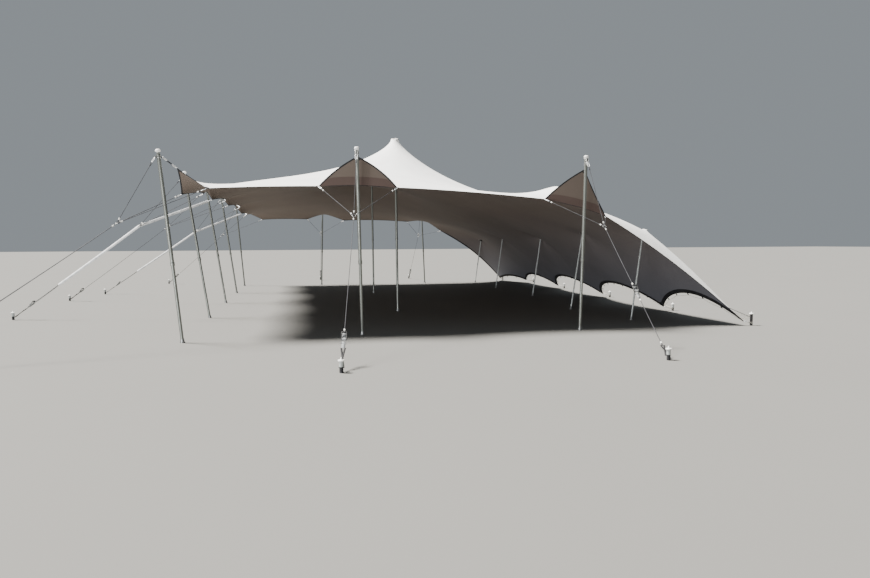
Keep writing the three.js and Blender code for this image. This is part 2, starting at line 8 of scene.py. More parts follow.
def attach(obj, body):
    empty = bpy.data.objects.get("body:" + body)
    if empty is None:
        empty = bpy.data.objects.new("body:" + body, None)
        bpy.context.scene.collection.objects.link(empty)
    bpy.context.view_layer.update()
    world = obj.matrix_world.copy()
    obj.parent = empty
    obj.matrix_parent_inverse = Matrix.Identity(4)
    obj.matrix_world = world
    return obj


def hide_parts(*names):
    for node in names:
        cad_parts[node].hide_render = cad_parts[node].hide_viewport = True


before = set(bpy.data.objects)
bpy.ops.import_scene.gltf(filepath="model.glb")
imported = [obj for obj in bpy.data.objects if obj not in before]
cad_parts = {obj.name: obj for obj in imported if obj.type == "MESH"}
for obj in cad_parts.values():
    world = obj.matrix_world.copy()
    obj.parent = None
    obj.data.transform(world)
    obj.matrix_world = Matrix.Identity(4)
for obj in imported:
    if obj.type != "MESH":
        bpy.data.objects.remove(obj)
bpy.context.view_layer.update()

# The tent is set out in millimetres from the front left pole's foot: X along the front, Y to the
# back. MIDDLE is the middle of its footprint, where the row frame has its origin.
MIDDLE = (3325.0, 7200.0)
UP = Vector((0, 0, 1))


def metres(point):
    """A set-out point as a point of the row frame."""
    x, y, z = [*point, 0][:3]
    return Vector((x - MIDDLE[0], y - MIDDLE[1], z)) / 1000


# The cloth as it is cut. LAST_FOOT is where the long slopes to the grounded side start.
CUT_WIDTH = 10400
CUT_DEPTH = 14400
CLOTH_THICKNESS = 3
PANEL_WIDTH = 1486
HEM_FOLD = 120
LAST_FOOT = 7210

# The grid that the hung cloth is worked out on, and how its points settle.
CELL_SIZE = 470
CELL_STEPS = 8
START_HEIGHT = 2300
START_FALL = 0.1
ROUNDS = 1100
OVERSHOOT = 1.97

# How hard edges and sewn bands pull: as hard as so many metres of the cloth's own width.
EDGE_TENSION = 7
GROUND_EDGE_TENSION = 2.3
SLOPE_EDGE_TENSION = 9
BAND_TENSION = 4
FRONT_BAND_TENSION = 120

# How full the cloth stands: everywhere, near its edges, and on the long slopes.
FULLNESS = 0.012
EDGE_FULLNESS = 0.38
EDGE_FULLNESS_REACH = 600
SLOPE_FULLNESS = 0.9
SLOPE_FULLNESS_START = 600
SLOPE_FULLNESS_REACH = 1200
SLOPE_LEAN = 0.5

# The stiff patches at the poles: the part that lies on an inner pole's dome, the sewn patch of a
# hung peak, and how far from that peak the cloth is stiffer. HEAD_DOME is how far an inner pole's
# dome falls away for each square millimetre from its middle.
PATCH_RADIUS = 110
HUNG_PATCH_RADIUS = 80
HUNG_PATCH_CONE = 600
HEAD_DOME = 0.0022

# The poles and their fittings. A sling's gaps are how far it lies from the tube, round it and at
# its bight. Its top, shoulder and bottom are metres below the pole's head.
FOOT_MARGIN = 14
FOOT_THICKNESS = 12
OUTER_CLAMP_AT = 1250
INNER_CLAMP_SHARE = 0.42
CAP_HEIGHT = 44
DOME_MARGIN = 38
HEAD_CLEARANCE = 3
COLLAR_DROP = 110
BAND_HEIGHT = 26
EAR_REACH = 40
EAR_END = 6
SLING_WIDTH = 34
SLING_GAP = 6
SLING_BIGHT_GAP = 15
SLING_TOP = 0.062
SLING_SHOULDER = 0.082
SLING_BOTTOM = 0.152
CORNER_POLES = ("front_left", "back_left")

# Links and rings. LINK_ROOM is the least that one link with an eye of rope takes up.
LINK_ROOM = 140
LINK_LENGTH = 92
LINK_WIDTH = 32
LINK_BAR = 6
RING_RADIUS = 27
EYE_LENGTH = 42
KNOT_LENGTH = 30
HOOK_REACH = 12

# Ropes and straps, in metres, but STRAND_DEPTH is a share of the rope's radius. A sag is how far
# one hangs down in its middle.
RING_BAR = 0.0045
BINDING_AT = 0.02
ROPE_RADIUS = 0.005
ROPE_LAY = 0.045
ROPE_STEP = 0.008
STRAND_DEPTH = 0.09
CORD_RADIUS = 0.003
STRAP_WIDTH = 0.05
STRAP_THICKNESS = 0.0035
STRAP_STEP = 0.05
WEBBING_THICKNESS = 0.004
RATCHET_WEBBING = 0.045
STAKE_WEBBING = 0.024
ROPE_SAG = 0.008
LOW_ROPE_SAG = 0.004
STRAP_SAG = 0.006
SHORT_SAG = 0.003
LACING_SAG = 0.014

# The ratchets: how far above its stake one sits, in millimetres, and in metres where its webbing,
# ropes and strap start and end, and how far back from there the whippings sit.
RATCHET_AT = 455
RATCHET_HALF = 0.054
WEBBING_IN = 0.03
WEBBING_OUT = 0.075
RATCHET_EYE = 0.07
ROPES_APART = 0.024
STRAP_ROPES_APART = 0.022
JOINT_APART = 0.018
STRAP_JOINT_AT = 1.2
STRAP_KNOT_BACK = 0.02
ROPE_KNOT_BACK = 0.05
STRAP_END = 0.1
LOW_ROPE_END = 0.2
CROSS_SPREAD = 0.024
STAKE_GAP = 0.01

# The stakes. A guy's webbing loops round one at LOOP_HEIGHT, and LOOP_GAP out from its pin.
STAKE_RADIUS = 14
STAKE_HEIGHT = 190
END_STAKE_HEIGHT = 260
LOOP_HEIGHT = 50
LOOP_GAP = 8
TAB_SPACING = 480

# Each pole's foot, the top of its head, and its tube's radius.
OUTER_POLES = {
    "front_left": ((0, 0), (-230, -250, 2990), 28),
    "front_middle": ((2870, 260), (2760, -250, 3100), 28),
    "front_right": ((6690, -100), (6710, -250, 3050), 28),
    "left_1": ((0, 3600), (-420, 3560, 3050), 26),
    "left_2": ((0, 7200), (-420, 7200, 3050), 26),
    "left_3": ((0, 10800), (-400, 10800, 3050), 26),
    "back_left": ((0, 14400), (-250, 14650, 2990), 26),
    "back_middle": ((2800, 14300), (2900, 14650, 3050), 26),
    "back_right": ((6750, 14300), (6700, 14650, 3000), 26),
}
INNER_POLES = {
    "centre_front": ((4070, 4000), (4040, 4000, 3910), 28),
    "centre_back": ((4200, 9640), (4170, 9640, 3910), 28),
    "wall_1": ((8320, 1070), (8560, 1070, 1810), 18),
    "wall_2": ((8050, 3400), (8330, 3400, 1790), 18),
    "wall_3": ((8560, 7290), (8820, 7290, 1790), 18),
    "wall_4": ((8610, 11020), (8860, 11020, 1780), 18),
    "wall_5": ((8760, 14210), (9000, 14210, 1680), 18),
}

# Lines of the grid that run through held points, peaks and sewn bands.
LINES_X = [0, HEM_FOLD, 430, 2150, 2780, 3430, 4080, 6050, 6800, LAST_FOOT, 8560, CUT_WIDTH]
LINES_Y = [0, HEM_FOLD, 620, 1070, 2980, 3600, 4000, 4220, 6580, 7200, 7820, 9640, 10180, 10800,
           11420, 12900, 13780, CUT_DEPTH - HEM_FOLD, CUT_DEPTH]

# Held points of the cloth's edge: where they are on the flat cloth, and where they are hung.
HELD_EDGE = {
    (0, 0): (0, 0, 2730), (430, 0): (430, 0, 2425), (2150, 0): (2158, 0, 2483),
    (2780, 0): (2790, -40, 2970), (3430, 0): (3455, 0, 2476), (6050, 0): (6050, 0, 2310),
    (6800, 0): (6800, 0, 2840), (LAST_FOOT, 0): (7210, 0, 2020),
    (CUT_WIDTH, 0): (9850, -290, 90), (CUT_WIDTH, 2980): (9900, 2500, 100),
    (CUT_WIDTH, 6580): (10300, 6300, 100), (CUT_WIDTH, 10180): (10500, 10000, 100),
    (CUT_WIDTH, 12900): (10600, 13400, 100), (CUT_WIDTH, CUT_DEPTH): (10100, 15200, 100),
    (LAST_FOOT, CUT_DEPTH): (7400, 14300, 2010), (6800, CUT_DEPTH): (6690, 14300, 2650),
    (6050, CUT_DEPTH): (6070, 14300, 2370), (3430, CUT_DEPTH): (3660, 14300, 2408),
    (2780, CUT_DEPTH): (2906, 14300, 2800), (2150, CUT_DEPTH): (2314, 14300, 2453),
    (430, CUT_DEPTH): (700, 14400, 2440), (0, CUT_DEPTH): (-30, 14400, 2780),
    (0, 13780): (140, 13780, 2575), (0, 11420): (160, 11420, 2525), (0, 10800): (-80, 10800, 2830),
    (0, 10180): (200, 10180, 2660), (0, 7820): (70, 7820, 2585), (0, 7200): (-100, 7200, 2830),
    (0, 6580): (110, 6580, 2630), (0, 4220): (50, 4220, 2515), (0, 3600): (-100, 3600, 2800),
    (0, 2980): (20, 2980, 2550), (0, 620): (-40, 620, 2370),
}

# Where inner poles push the cloth up: the place on the flat cloth, the pole, and how far from it
# the cloth is stiffer.
PUSHED_PEAKS = [
    (4080, 4000, "centre_front", 700), (4080, 9640, "centre_back", 700),
    (8560, 1070, "wall_1", 900), (8560, 3600, "wall_2", 400), (8560, 7200, "wall_3", 400),
    (8560, 10800, "wall_4", 400), (8560, 13780, "wall_5", 400),
]
HUNG_PEAKS = [(0, 0), (2780, 0), (6800, 0), (0, 3600), (0, 7200), (0, 10800), (0, CUT_DEPTH),
              (2780, CUT_DEPTH), (6800, CUT_DEPTH)]
BANDS_ALONG_X = [(2150, 3430), (6050, LAST_FOOT)]
BANDS_ALONG_Y = [(2980, 4220), (6580, 7820), (10180, 11420)]

# How far the rim of a front peak bows out between two held points, as a share of their distance.
BOWED_RIMS = {(2150, 2780): 0.045, (2780, 3430): 0.06, (6050, 6800): 0.036}

# Where the roof behind the front right peak stands fuller, or hangs lower, than its tension makes
# it: how much, the place on the flat cloth, and how far that reaches across and in depth. It grows
# from nothing at the front hem's fold.
SWELLS = [(9.4, 6520, 510, 220, 330), (-0.4, 5500, 1500, 700, 900)]
SWELL_START = 500

# Each guy's ring, its stake, and the held points that it takes: the peak and the two beside it.
GUYS = {
    "front_left": ((-760, -600, 1860), (-3000, -2000), [(0, 0), (430, 0), (0, 620)]),
    "front_middle": ((2652, -800, 1973), (2270, -3060), [(2780, 0), (2150, 0), (3430, 0)]),
    "front_right": ((6744, -900, 1812), (6540, -3200), [(6800, 0), (6050, 0), (LAST_FOOT, 0)]),
    "left_1": ((-1300, 3500, 1930), (-3960, 4230), [(0, 3600), (0, 2980), (0, 4220)]),
    "left_2": ((-1400, 7200, 1990), (-4300, 9000), [(0, 7200), (0, 6580), (0, 7820)]),
    "left_3": ((-1200, 10850, 1930), (-4000, 11400), [(0, 10800), (0, 10180), (0, 11420)]),
    "back_left": ((-800, 15000, 1870), (-3000, 16600),
                  [(0, CUT_DEPTH), (430, CUT_DEPTH), (0, 13780)]),
    "back_middle": ((2850, 15300, 1930), (2900, 17600),
                    [(2780, CUT_DEPTH), (2150, CUT_DEPTH), (3430, CUT_DEPTH)]),
    "back_right": ((6700, 15300, 1850), (6700, 17600),
                   [(6800, CUT_DEPTH), (6050, CUT_DEPTH), (LAST_FOOT, CUT_DEPTH)]),
}
STRAP_GUYS = ("left_1", "left_3")
DOUBLED_GUYS = ("front_left", "left_1", "left_3")
HIGH_RATCHETS = {"front_right": 1280}

# The grounded side's stakes: the place, the held point that is tied to it, and its height.
WALL_STAKES = [
    ((10020, -280), (CUT_WIDTH, 0), END_STAKE_HEIGHT),
    ((10110, 2470), (CUT_WIDTH, 2980), STAKE_HEIGHT),
    ((10480, 6250), (CUT_WIDTH, 6580), STAKE_HEIGHT),
    ((10690, 9960), (CUT_WIDTH, 10180), STAKE_HEIGHT),
    ((10950, 13600), (CUT_WIDTH, 12900), STAKE_HEIGHT),
    ((10340, 15600), (CUT_WIDTH, CUT_DEPTH), END_STAKE_HEIGHT),
]

# The camera: its lens in pixels of the picture's width, its place in metres, and its turn in
# degrees.
PICTURE_WIDTH = 870
LENS_PIXELS = 666
SENSOR_WIDTH = 36
FAR_CLIP = 300
EYE = (-1.615, -18.25, 1.56)
YAW, TILT_DOWN, ROLL = -12.13, 3.98, -0.27

# The studio: a high soft key, and a low soft box in front on the left that lights the underside.
KEY_STRENGTH = 16.5
KEY_SPREAD = 18
BOX_POWER = 2000
BOX_SIZE = (8, 3)
BOX_PLACE = (-10, -18, -1.6)
FLOOR_REACH = 140.0


# Camera, light and floor.
def set_camera():
    data = bpy.data.cameras.new("camera")
    data.sensor_width = SENSOR_WIDTH
    data.lens = SENSOR_WIDTH * LENS_PIXELS / PICTURE_WIDTH
    data.clip_end = FAR_CLIP
    camera = bpy.data.objects.new("camera", data)
    turn = Matrix.Rotation(math.radians(YAW), 4, "Z")
    turn = turn @ Matrix.Rotation(math.radians(90 - TILT_DOWN), 4, "X")
    turn = turn @ Matrix.Rotation(math.radians(ROLL), 4, "Z")
    camera.matrix_world = Matrix.Translation(EYE) @ turn
    bpy.context.scene.collection.objects.link(camera)
    bpy.context.scene.camera = camera


def add_lamp(data, colour, towards, place=(0, 0, 0)):
    data.color = colour
    lamp = bpy.data.objects.new(data.name, data)
    lamp.rotation_mode = "QUATERNION"
    lamp.rotation_quaternion = Vector(towards).to_track_quat("-Z", "Y")
    lamp.location = place
    lamp.visible_camera = False
    bpy.context.scene.collection.objects.link(lamp)


def set_light():
    key = bpy.data.lights.new("soft_key", "SUN")
    key.energy = KEY_STRENGTH
    key.angle = math.radians(KEY_SPREAD)
    add_lamp(key, (1.0, 0.97, 0.93), (0.5, -0.16, -0.85))
    box = bpy.data.lights.new("soft_box", "AREA")
    box.energy = BOX_POWER
    box.shape = "RECTANGLE"
    box.size, box.size_y = BOX_SIZE
    add_lamp(box, (0.95, 0.97, 1.0), (0.49, 0.87, 0.12), BOX_PLACE)
    world = bpy.data.worlds.new("studio")
    bpy.context.scene.world = world
    world.use_nodes = True
    backdrop = world.node_tree.nodes["Background"]
    backdrop.inputs["Color"].default_value = linear("#8C9297")
    backdrop.inputs["Strength"].default_value = 1.0


def pale_floor():
    material, tree, shader, spot = bare_material("plain_floor", Roughness=0.9)
    speck = add(tree, "ShaderNodeTexNoise", {"Vector": spot, "Scale": 0.4, "Detail": 3.0})
    tint = add(tree, "ShaderNodeMix", {0: speck, 6: linear("#6F6E6A"), 7: linear("#72716D")},
               data_type="RGBA")
    tree.links.new(tint.outputs[2], shader.inputs["Base Color"])
    far = FLOOR_REACH
    points = [(-far, -far, 0), (far, -far, 0), (far, far, 0), (-far, far, 0)]
    floor = new_piece("floor", points, [(0, 1, 2, 3)], [material])
    floor.visible_shadow = False


# Helpers for materials and meshes.
def linear(code):
    """An sRGB hex colour as linear red, green, blue and 1."""
    parts = [int(code[k:k + 2], 16) / 255 for k in (1, 3, 5)]
    return (*[p / 12.92 if p <= 0.04045 else ((p + 0.055) / 1.055) ** 2.4 for p in parts], 1.0)


def add(tree, kind, inputs=None, **settings):
    """Adds one node to a tree, with its settings, its values and its links. A node that is given
    as a value is linked from its first output."""
    node = tree.nodes.new(kind)
    for name, value in settings.items():
        setattr(node, name, value)
    for name, value in (inputs or {}).items():
        if isinstance(value, bpy.types.Node):
            value = value.outputs[0]
        if isinstance(value, bpy.types.NodeSocket):
            tree.links.new(value, node.inputs[name])
        else:
            node.inputs[name].default_value = value
    return node


def bare_material(name, **values):
    """A material with only its shader, whose even values are set on the shader's own sockets, and
    the place on the piece that its patterns start from."""
    material = bpy.data.materials.new(name)
    material.use_nodes = True
    tree = material.node_tree
    shader = tree.nodes["Principled BSDF"]
    for key, value in values.items():
        shader.inputs[key.replace("_", " ")].default_value = value
    return material, tree, shader, add(tree, "ShaderNodeTexCoord").outputs["Object"]


def patches(tree, spot, scale, detail, start, end, least=0.0, most=1.0):
    """Soft patches of noise: `least` where it is under `start`, and `most` where over `end`."""
    noise = add(tree, "ShaderNodeTexNoise", {"Vector": spot, "Scale": scale, "Detail": detail})
    return add(tree, "ShaderNodeMapRange", {"Value": noise, "From Min": start, "From Max": end,
                                            "To Min": least, "To Max": most})


def new_piece(name, points, faces, materials, of_face=None, crease=40):
    """A piece from points and faces, with a material number for each face, and sharp edges where
    two faces meet at more than `crease` degrees."""
    mesh = bpy.data.meshes.new(name)
    mesh.from_pydata([tuple(p) for p in points], [], [tuple(f) for f in faces])
    for material in materials:
        mesh.materials.append(material)
    if of_face is not None:
        mesh.polygons.foreach_set("material_index", np.asarray(of_face, np.int32))
    mesh.polygons.foreach_set("use_smooth", np.ones(len(mesh.polygons), bool))
    mesh.set_sharp_from_angle(angle=math.radians(crease))
    mesh.update()
    piece = bpy.data.objects.new(name, mesh)
    bpy.context.scene.collection.objects.link(piece)
    return piece


def settle(piece, node=None):
    """Fixes a piece to the tent, and hides the part of the node that it stands for."""
    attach(piece, "root")
    if node:
        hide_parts(node)


def joined(shapes):
    """Several (points, faces) shapes as one."""
    points, faces = [], []
    for some_points, some_faces in shapes:
        start = len(points)
        points.extend(Vector(p) for p in some_points)
        faces.extend(tuple(int(n) + start for n in face) for face in some_faces)
    return points, faces


def of_parts(name, parts, materials):
    """One piece from several shapes, each with the number of its material."""
    points, faces = joined(shape for shape, _ in parts)
    numbers = [number for (_, some_faces), number in parts for _ in some_faces]
    return new_piece(name, points, faces, materials, numbers)


def stand(start, along, level=None):
    """The frame of a part that starts at a point and points along a direction."""
    along = Vector(along).normalized()
    side = Vector(level) if level is not None else UP.cross(along)
    if side.length < 1e-6:
        side = Vector((1, 0, 0))
    side = (side - along * side.dot(along)).normalized()
    turn = Matrix((side, along.cross(side), along)).transposed().to_4x4()
    return Matrix.Translation(start) @ turn


def turned(profile, sides, place, hollow=False):
    """A turned shape from (radius, height) points in millimetres. It starts and ends on the axis,
    or closes on itself where it is hollow."""
    points, faces, rings = [], [], []
    for radius, height in profile:
        if radius < 1e-6:
            rings.append([len(points)])
            points.append(Vector((0, 0, height / 1000)))
            continue
        rings.append(list(range(len(points), len(points) + sides)))
        for k in range(sides):
            angle = 2 * math.pi * k / sides
            spot = Vector((radius * math.cos(angle), radius * math.sin(angle), height))
            points.append(spot / 1000)
    for low, high in zip(rings, rings[1:] + rings[:hollow]):
        for k in range(sides):
            n = (k + 1) % sides
            if len(low) == 1:
                faces.append((low[0], high[n], high[k]))
            elif len(high) == 1:
                faces.append((low[k], low[n], high[0]))
            else:
                faces.append((low[k], low[n], high[n], high[k]))
    return [place @ p for p in points], faces


def moved(profile, out, up):
    """A profile made wider and set higher."""
    return [(radius + out, height + up) for radius, height in profile]


def rod(half, radius):
    """The profile of a plain rod of a radius, from -half to half."""
    return [(0, -half), (radius, -half), (radius, half), (0, half)]


def plate(outline, low, high, place):
    """A flat plate with an outline in its own X and Y, millimetres, between two heights."""
    count = len(outline)
    points = [place @ (Vector((x, y, z)) / 1000) for z in (low, high) for x, y in outline]
    faces = [tuple(reversed(range(count))), tuple(range(count, 2 * count))]
    for k in range(count):
        n = (k + 1) % count
        faces.append((k, n, n + count, k + count))
    return points, faces


def bent_bar(path, radius, sides, normal):
    """A round bar along a closed path in one plane, whose normal is given. Lengths in metres."""
    count = len(path)
    points, faces = [], []
    for k, spot in enumerate(path):
        side = normal.cross(path[(k + 1) % count] - path[k - 1]).normalized()
        for n in range(sides):
            angle = 2 * math.pi * n / sides
            points.append(spot + (side * math.cos(angle) + normal * math.sin(angle)) * radius)
    for k in range(count):
        here, there = k * sides, (k + 1) % count * sides
        for n in range(sides):
            m = (n + 1) % sides
            faces.append((here + n, here + m, there + m, there + n))
    return points, faces


def arc(x, z, radius, start, end, steps):
    """Points of an arc in a part's own X and Z, millimetres, between two angles in degrees."""
    angles = [math.radians(start + (end - start) * k / steps) for k in range(steps + 1)]
    return [Vector((x + radius * math.cos(a), 0, z + radius * math.sin(a))) / 1000 for a in angles]


def round_bar_outline(start, end, half, steps=6):
    """The outline of a flat bar with round ends, in its own X and Y."""
    way = math.atan2(end[1] - start[1], end[0] - start[0])
    points = []
    for (x, y), turn in ((end, -90), (start, 90)):
        for k in range(steps + 1):
            angle = way + math.radians(turn + 180 * k / steps)
            points.append((x + half * math.cos(angle), y + half * math.sin(angle)))
    return points


def sheet_shape(upper, lower):
    """A closed sheet between two grids of points."""
    rows, columns = upper.shape[:2]
    count = rows * columns
    number = np.arange(count).reshape(rows, columns)
    corners = [number[:-1, :-1], number[:-1, 1:], number[1:, 1:], number[1:, :-1]]
    top = np.stack(corners, -1).reshape(-1, 4)
    rim = np.concatenate([number[0, :-1], number[:-1, -1], number[-1, :0:-1], number[:0:-1, 0]])
    after = np.roll(rim, -1)
    side = np.stack([after, rim, rim + count, after + count], -1)
    points = np.concatenate([upper.reshape(-1, 3), lower.reshape(-1, 3)])
    return points, np.concatenate([top, top[:, ::-1] + count, side])


# Geometry Nodes trees.
def new_tree(name, inputs):
    tree = bpy.data.node_groups.new(name, "GeometryNodeTree")
    tree.interface.new_socket("Geometry", in_out="INPUT", socket_type="NodeSocketGeometry")
    for title, kind in inputs.items():
        tree.interface.new_socket(title, in_out="INPUT", socket_type="NodeSocket" + kind)
    tree.interface.new_socket("Geometry", in_out="OUTPUT", socket_type="NodeSocketGeometry")
    return tree, add(tree, "NodeGroupInput").outputs


def end_tree(tree, geometry, material):
    real = add(tree, "GeometryNodeRealizeInstances", {"Geometry": geometry})
    smooth = add(tree, "GeometryNodeSetShadeSmooth", {"Geometry": real})
    painted = add(tree, "GeometryNodeSetMaterial", {"Geometry": smooth, "Material": material})
    add(tree, "NodeGroupOutput", {"Geometry": painted})
    return tree


def even_lines(tree, given):
    """The piece's lines as curves, with their points at an even spacing."""
    lines = add(tree, "GeometryNodeMeshToCurve", {"Mesh": given["Geometry"]})
    return add(tree, "GeometryNodeResampleCurve", {"Curve": lines, "Length": given["Spacing"]},
               mode="LENGTH")


def end_swept(tree, given, curve, profile):
    """Ends a tree with a closed bar of a profile along each curve."""
    swept = add(tree, "GeometryNodeCurveToMesh",
                {"Curve": curve, "Profile Curve": profile, "Fill Caps": True})
    return end_tree(tree, swept, given["Material"])


def rope_tree():
    """A laid rope of three strands along each line of the piece."""
    tree, given = new_tree("laid_rope", {"Radius": "Float", "Lay": "Float", "Spacing": "Float",
                                         "Sides": "Int", "Strand": "Float",
                                         "Material": "Material"})
    even = even_lines(tree, given)
    along = add(tree, "GeometryNodeSplineParameter").outputs["Length"]
    turns = add(tree, "ShaderNodeMath", {0: along, 1: given["Lay"]}, operation="DIVIDE")
    angle = add(tree, "ShaderNodeMath", {0: turns, 1: 2 * math.pi}, operation="MULTIPLY")
    twisted = add(tree, "GeometryNodeSetCurveTilt", {"Curve": even, "Tilt": angle})
    ring = add(tree, "GeometryNodeCurvePrimitiveCircle",
               {"Resolution": given["Sides"], "Radius": given["Radius"]})
    spot = add(tree, "GeometryNodeInputPosition")
    apart = add(tree, "ShaderNodeSeparateXYZ", {0: spot}).outputs
    around = add(tree, "ShaderNodeMath", {0: apart["Y"], 1: apart["X"]}, operation="ARCTAN2")
    three = add(tree, "ShaderNodeMath", {0: around, 1: 3.0}, operation="MULTIPLY")
    wave = add(tree, "ShaderNodeMath", {0: three}, operation="COSINE")
    swell = add(tree, "ShaderNodeMath", {0: wave, 1: given["Strand"], 2: 1.0},
                operation="MULTIPLY_ADD")
    lobes = add(tree, "ShaderNodeVectorMath", {0: spot, "Scale": swell}, operation="SCALE")
    strands = add(tree, "GeometryNodeSetPosition", {"Geometry": ring, "Position": lobes})
    return end_swept(tree, given, twisted, strands)


def strap_tree():
    """Flat webbing along each line of the piece, lying level across."""
    tree, given = new_tree("flat_webbing", {"Width": "Float", "Thickness": "Float",
                                            "Spacing": "Float", "Material": "Material"})
    even = even_lines(tree, given)
    level = add(tree, "GeometryNodeSetCurveNormal", {"Curve": even}, mode="Z_UP")
    edge = add(tree, "GeometryNodeCurvePrimitiveQuadrilateral",
               {"Width": given["Width"], "Height": given["Thickness"]}, mode="RECTANGLE")
    return end_swept(tree, given, level, edge)


def set_out_tree():
    """Copies of one part at the points of the piece, each turned as its point says."""
    tree, given = new_tree("set_out", {"Part": "Object", "Material": "Material"})
    part = add(tree, "GeometryNodeObjectInfo", {"Object": given["Part"]},
               transform_space="ORIGINAL")
    turn = add(tree, "GeometryNodeInputNamedAttribute", {"Name": "turn"},
               data_type="FLOAT_VECTOR")
    rotation = add(tree, "FunctionNodeEulerToRotation", {0: turn})
    copies = add(tree, "GeometryNodeInstanceOnPoints",
                 {"Points": given["Geometry"], "Instance": part.outputs["Geometry"],
                  "Rotation": rotation})
    return end_tree(tree, copies, given["Material"])


def grown(name, mesh, tree, inputs):
    """Runs a tree on a mesh and keeps the result as a plain mesh."""
    piece = bpy.data.objects.new(name, mesh)
    bpy.context.scene.collection.objects.link(piece)
    modifier = piece.modifiers.new(tree.name, "NODES")
    modifier.node_group = tree
    for item in tree.interface.items_tree:
        if item.in_out == "INPUT" and item.name in inputs:
            modifier[item.identifier] = inputs[item.name]
    shown = piece.evaluated_get(bpy.context.evaluated_depsgraph_get())
    made = bpy.data.meshes.new_from_object(shown)
    piece.modifiers.clear()
    piece.data = made
    made.name = name
    return piece


def lines_mesh(lines):
    """A mesh of edges from point lists, each open or closed: (points, closed)."""
    points, edges = [], []
    for some, closed in lines:
        start = len(points)
        points.extend(tuple(p) for p in some)
        edges.extend((start + k, start + k + 1) for k in range(len(some) - 1))
        if closed:
            edges.append((start + len(some) - 1, start))
    mesh = bpy.data.meshes.new("lines")
    mesh.from_pydata(points, edges, [])
    return mesh


def points_mesh(places):
    """A mesh of points from placing matrices, with how each part is turned there."""
    mesh = bpy.data.meshes.new("points")
    mesh.from_pydata([tuple(place.translation) for place in places], [], [])
    turn = mesh.attributes.new("turn", "FLOAT_VECTOR", "POINT")
    turn.data.foreach_set("vector", [a for place in places for a in place.to_euler("XYZ")])
    return mesh


ROPE_TREE = rope_tree()
STRAP_TREE = strap_tree()
SET_OUT_TREE = set_out_tree()


def set_out(name, part, places, material):
    return grown(name, points_mesh(places), SET_OUT_TREE, {"Part": part, "Material": material})


def roped(name, lines, radius, material):
    inputs = {"Radius": radius, "Lay": ROPE_LAY * radius / ROPE_RADIUS, "Spacing": ROPE_STEP,
              "Sides": 12, "Strand": STRAND_DEPTH, "Material": material}
    return grown(name, lines_mesh(lines), ROPE_TREE, inputs)


def webbed(name, lines, width, thickness, material):
    inputs = {"Width": width, "Thickness": thickness, "Spacing": STRAP_STEP, "Material": material}
    return grown(name, lines_mesh(lines), STRAP_TREE, inputs)


# Materials.
def cloth_finish(name, high, low, knit, **values):
    """Knitted stretch polyester in sewn panels. The knit is drawn at 14 mm, far coarser than its
    real 1 mm, so that it shows. `high` is the colour on the roof, `low` the one near the ground."""
    material, tree, shader, spot = bare_material(name, **values)
    own = add(tree, "ShaderNodeUVMap", uv_map="flat_cut")
    flat = add(tree, "ShaderNodeMapping",
               {"Vector": own, "Scale": (CUT_WIDTH / 1000, CUT_DEPTH / 1000, 1.0)})
    height = add(tree, "ShaderNodeSeparateXYZ", {0: spot}).outputs["Z"]
    up = add(tree, "ShaderNodeMapRange", {"Value": height, "From Min": 0.3, "From Max": 2.3})
    # On the underside this change of colour with height is painted light; on the top side it is
    # dust.
    by_height = add(tree, "ShaderNodeMix", {0: up, 6: linear(low), 7: linear(high)},
                    data_type="RGBA")
    shade = patches(tree, flat, 0.9, 5.0, 0.3, 0.7, 0.93, 1.06)
    mottled = add(tree, "ShaderNodeVectorMath", {0: by_height.outputs[2], "Scale": shade},
                  operation="SCALE")
    across = add(tree, "ShaderNodeSeparateXYZ", {0: flat}).outputs["X"]
    panel = add(tree, "ShaderNodeMath", {0: across, 1: PANEL_WIDTH / 2000}, operation="PINGPONG")
    lap = add(tree, "ShaderNodeMapRange", {"Value": panel, "From Min": 0.012, "From Max": 0.018,
                                           "To Min": 0.96, "To Max": 1.0})
    sewn = add(tree, "ShaderNodeVectorMath", {0: mottled, "Scale": lap}, operation="SCALE")
    tree.links.new(sewn.outputs[0], shader.inputs["Base Color"])
    ribs = add(tree, "ShaderNodeTexWave", {"Vector": flat, "Scale": 22.0, "Distortion": 1.5,
                                           "Detail": 1.0, "Detail Scale": 3.0},
               bands_direction="X")
    pulls = add(tree, "ShaderNodeTexNoise", {"Vector": flat, "Scale": 3.2, "Detail": 3.0})
    relief = add(tree, "ShaderNodeBump", {"Height": ribs.outputs[1], "Strength": 0.15,
                                          "Distance": knit})
    for pattern, strength in ((pulls, 0.35), (lap, 0.5)):
        relief = add(tree, "ShaderNodeBump", {"Height": pattern, "Strength": strength,
                                              "Distance": 0.02, "Normal": relief})
    tree.links.new(relief.outputs[0], shader.inputs["Normal"])
    return material


def end_finish(tree, shader, share, colours, height, strength, distance):
    """Ends a material with two colours mixed by one pattern, and the relief of another."""
    first, second = [linear(code) for code in colours]
    tint = add(tree, "ShaderNodeMix", {0: share, 6: first, 7: second}, data_type="RGBA")
    bump = add(tree, "ShaderNodeBump", {"Height": height, "Strength": strength,
                                        "Distance": distance})
    tree.links.new(tint.outputs[2], shader.inputs["Base Color"])
    tree.links.new(bump.outputs[0], shader.inputs["Normal"])


def woven_finish(name, dark, pale, pitch, relief=0.6, **values):
    """Woven webbing or rope: rows of thread at a real pitch in metres, and worn, paler places."""
    material, tree, shader, spot = bare_material(name, **values)
    worn = patches(tree, spot, 9.0, 4.0, 0.4, 0.75)
    threads = add(tree, "ShaderNodeTexVoronoi", {"Vector": spot, "Scale": 1 / pitch})
    end_finish(tree, shader, worn, (dark, pale), threads, relief, pitch * 0.3)
    return material


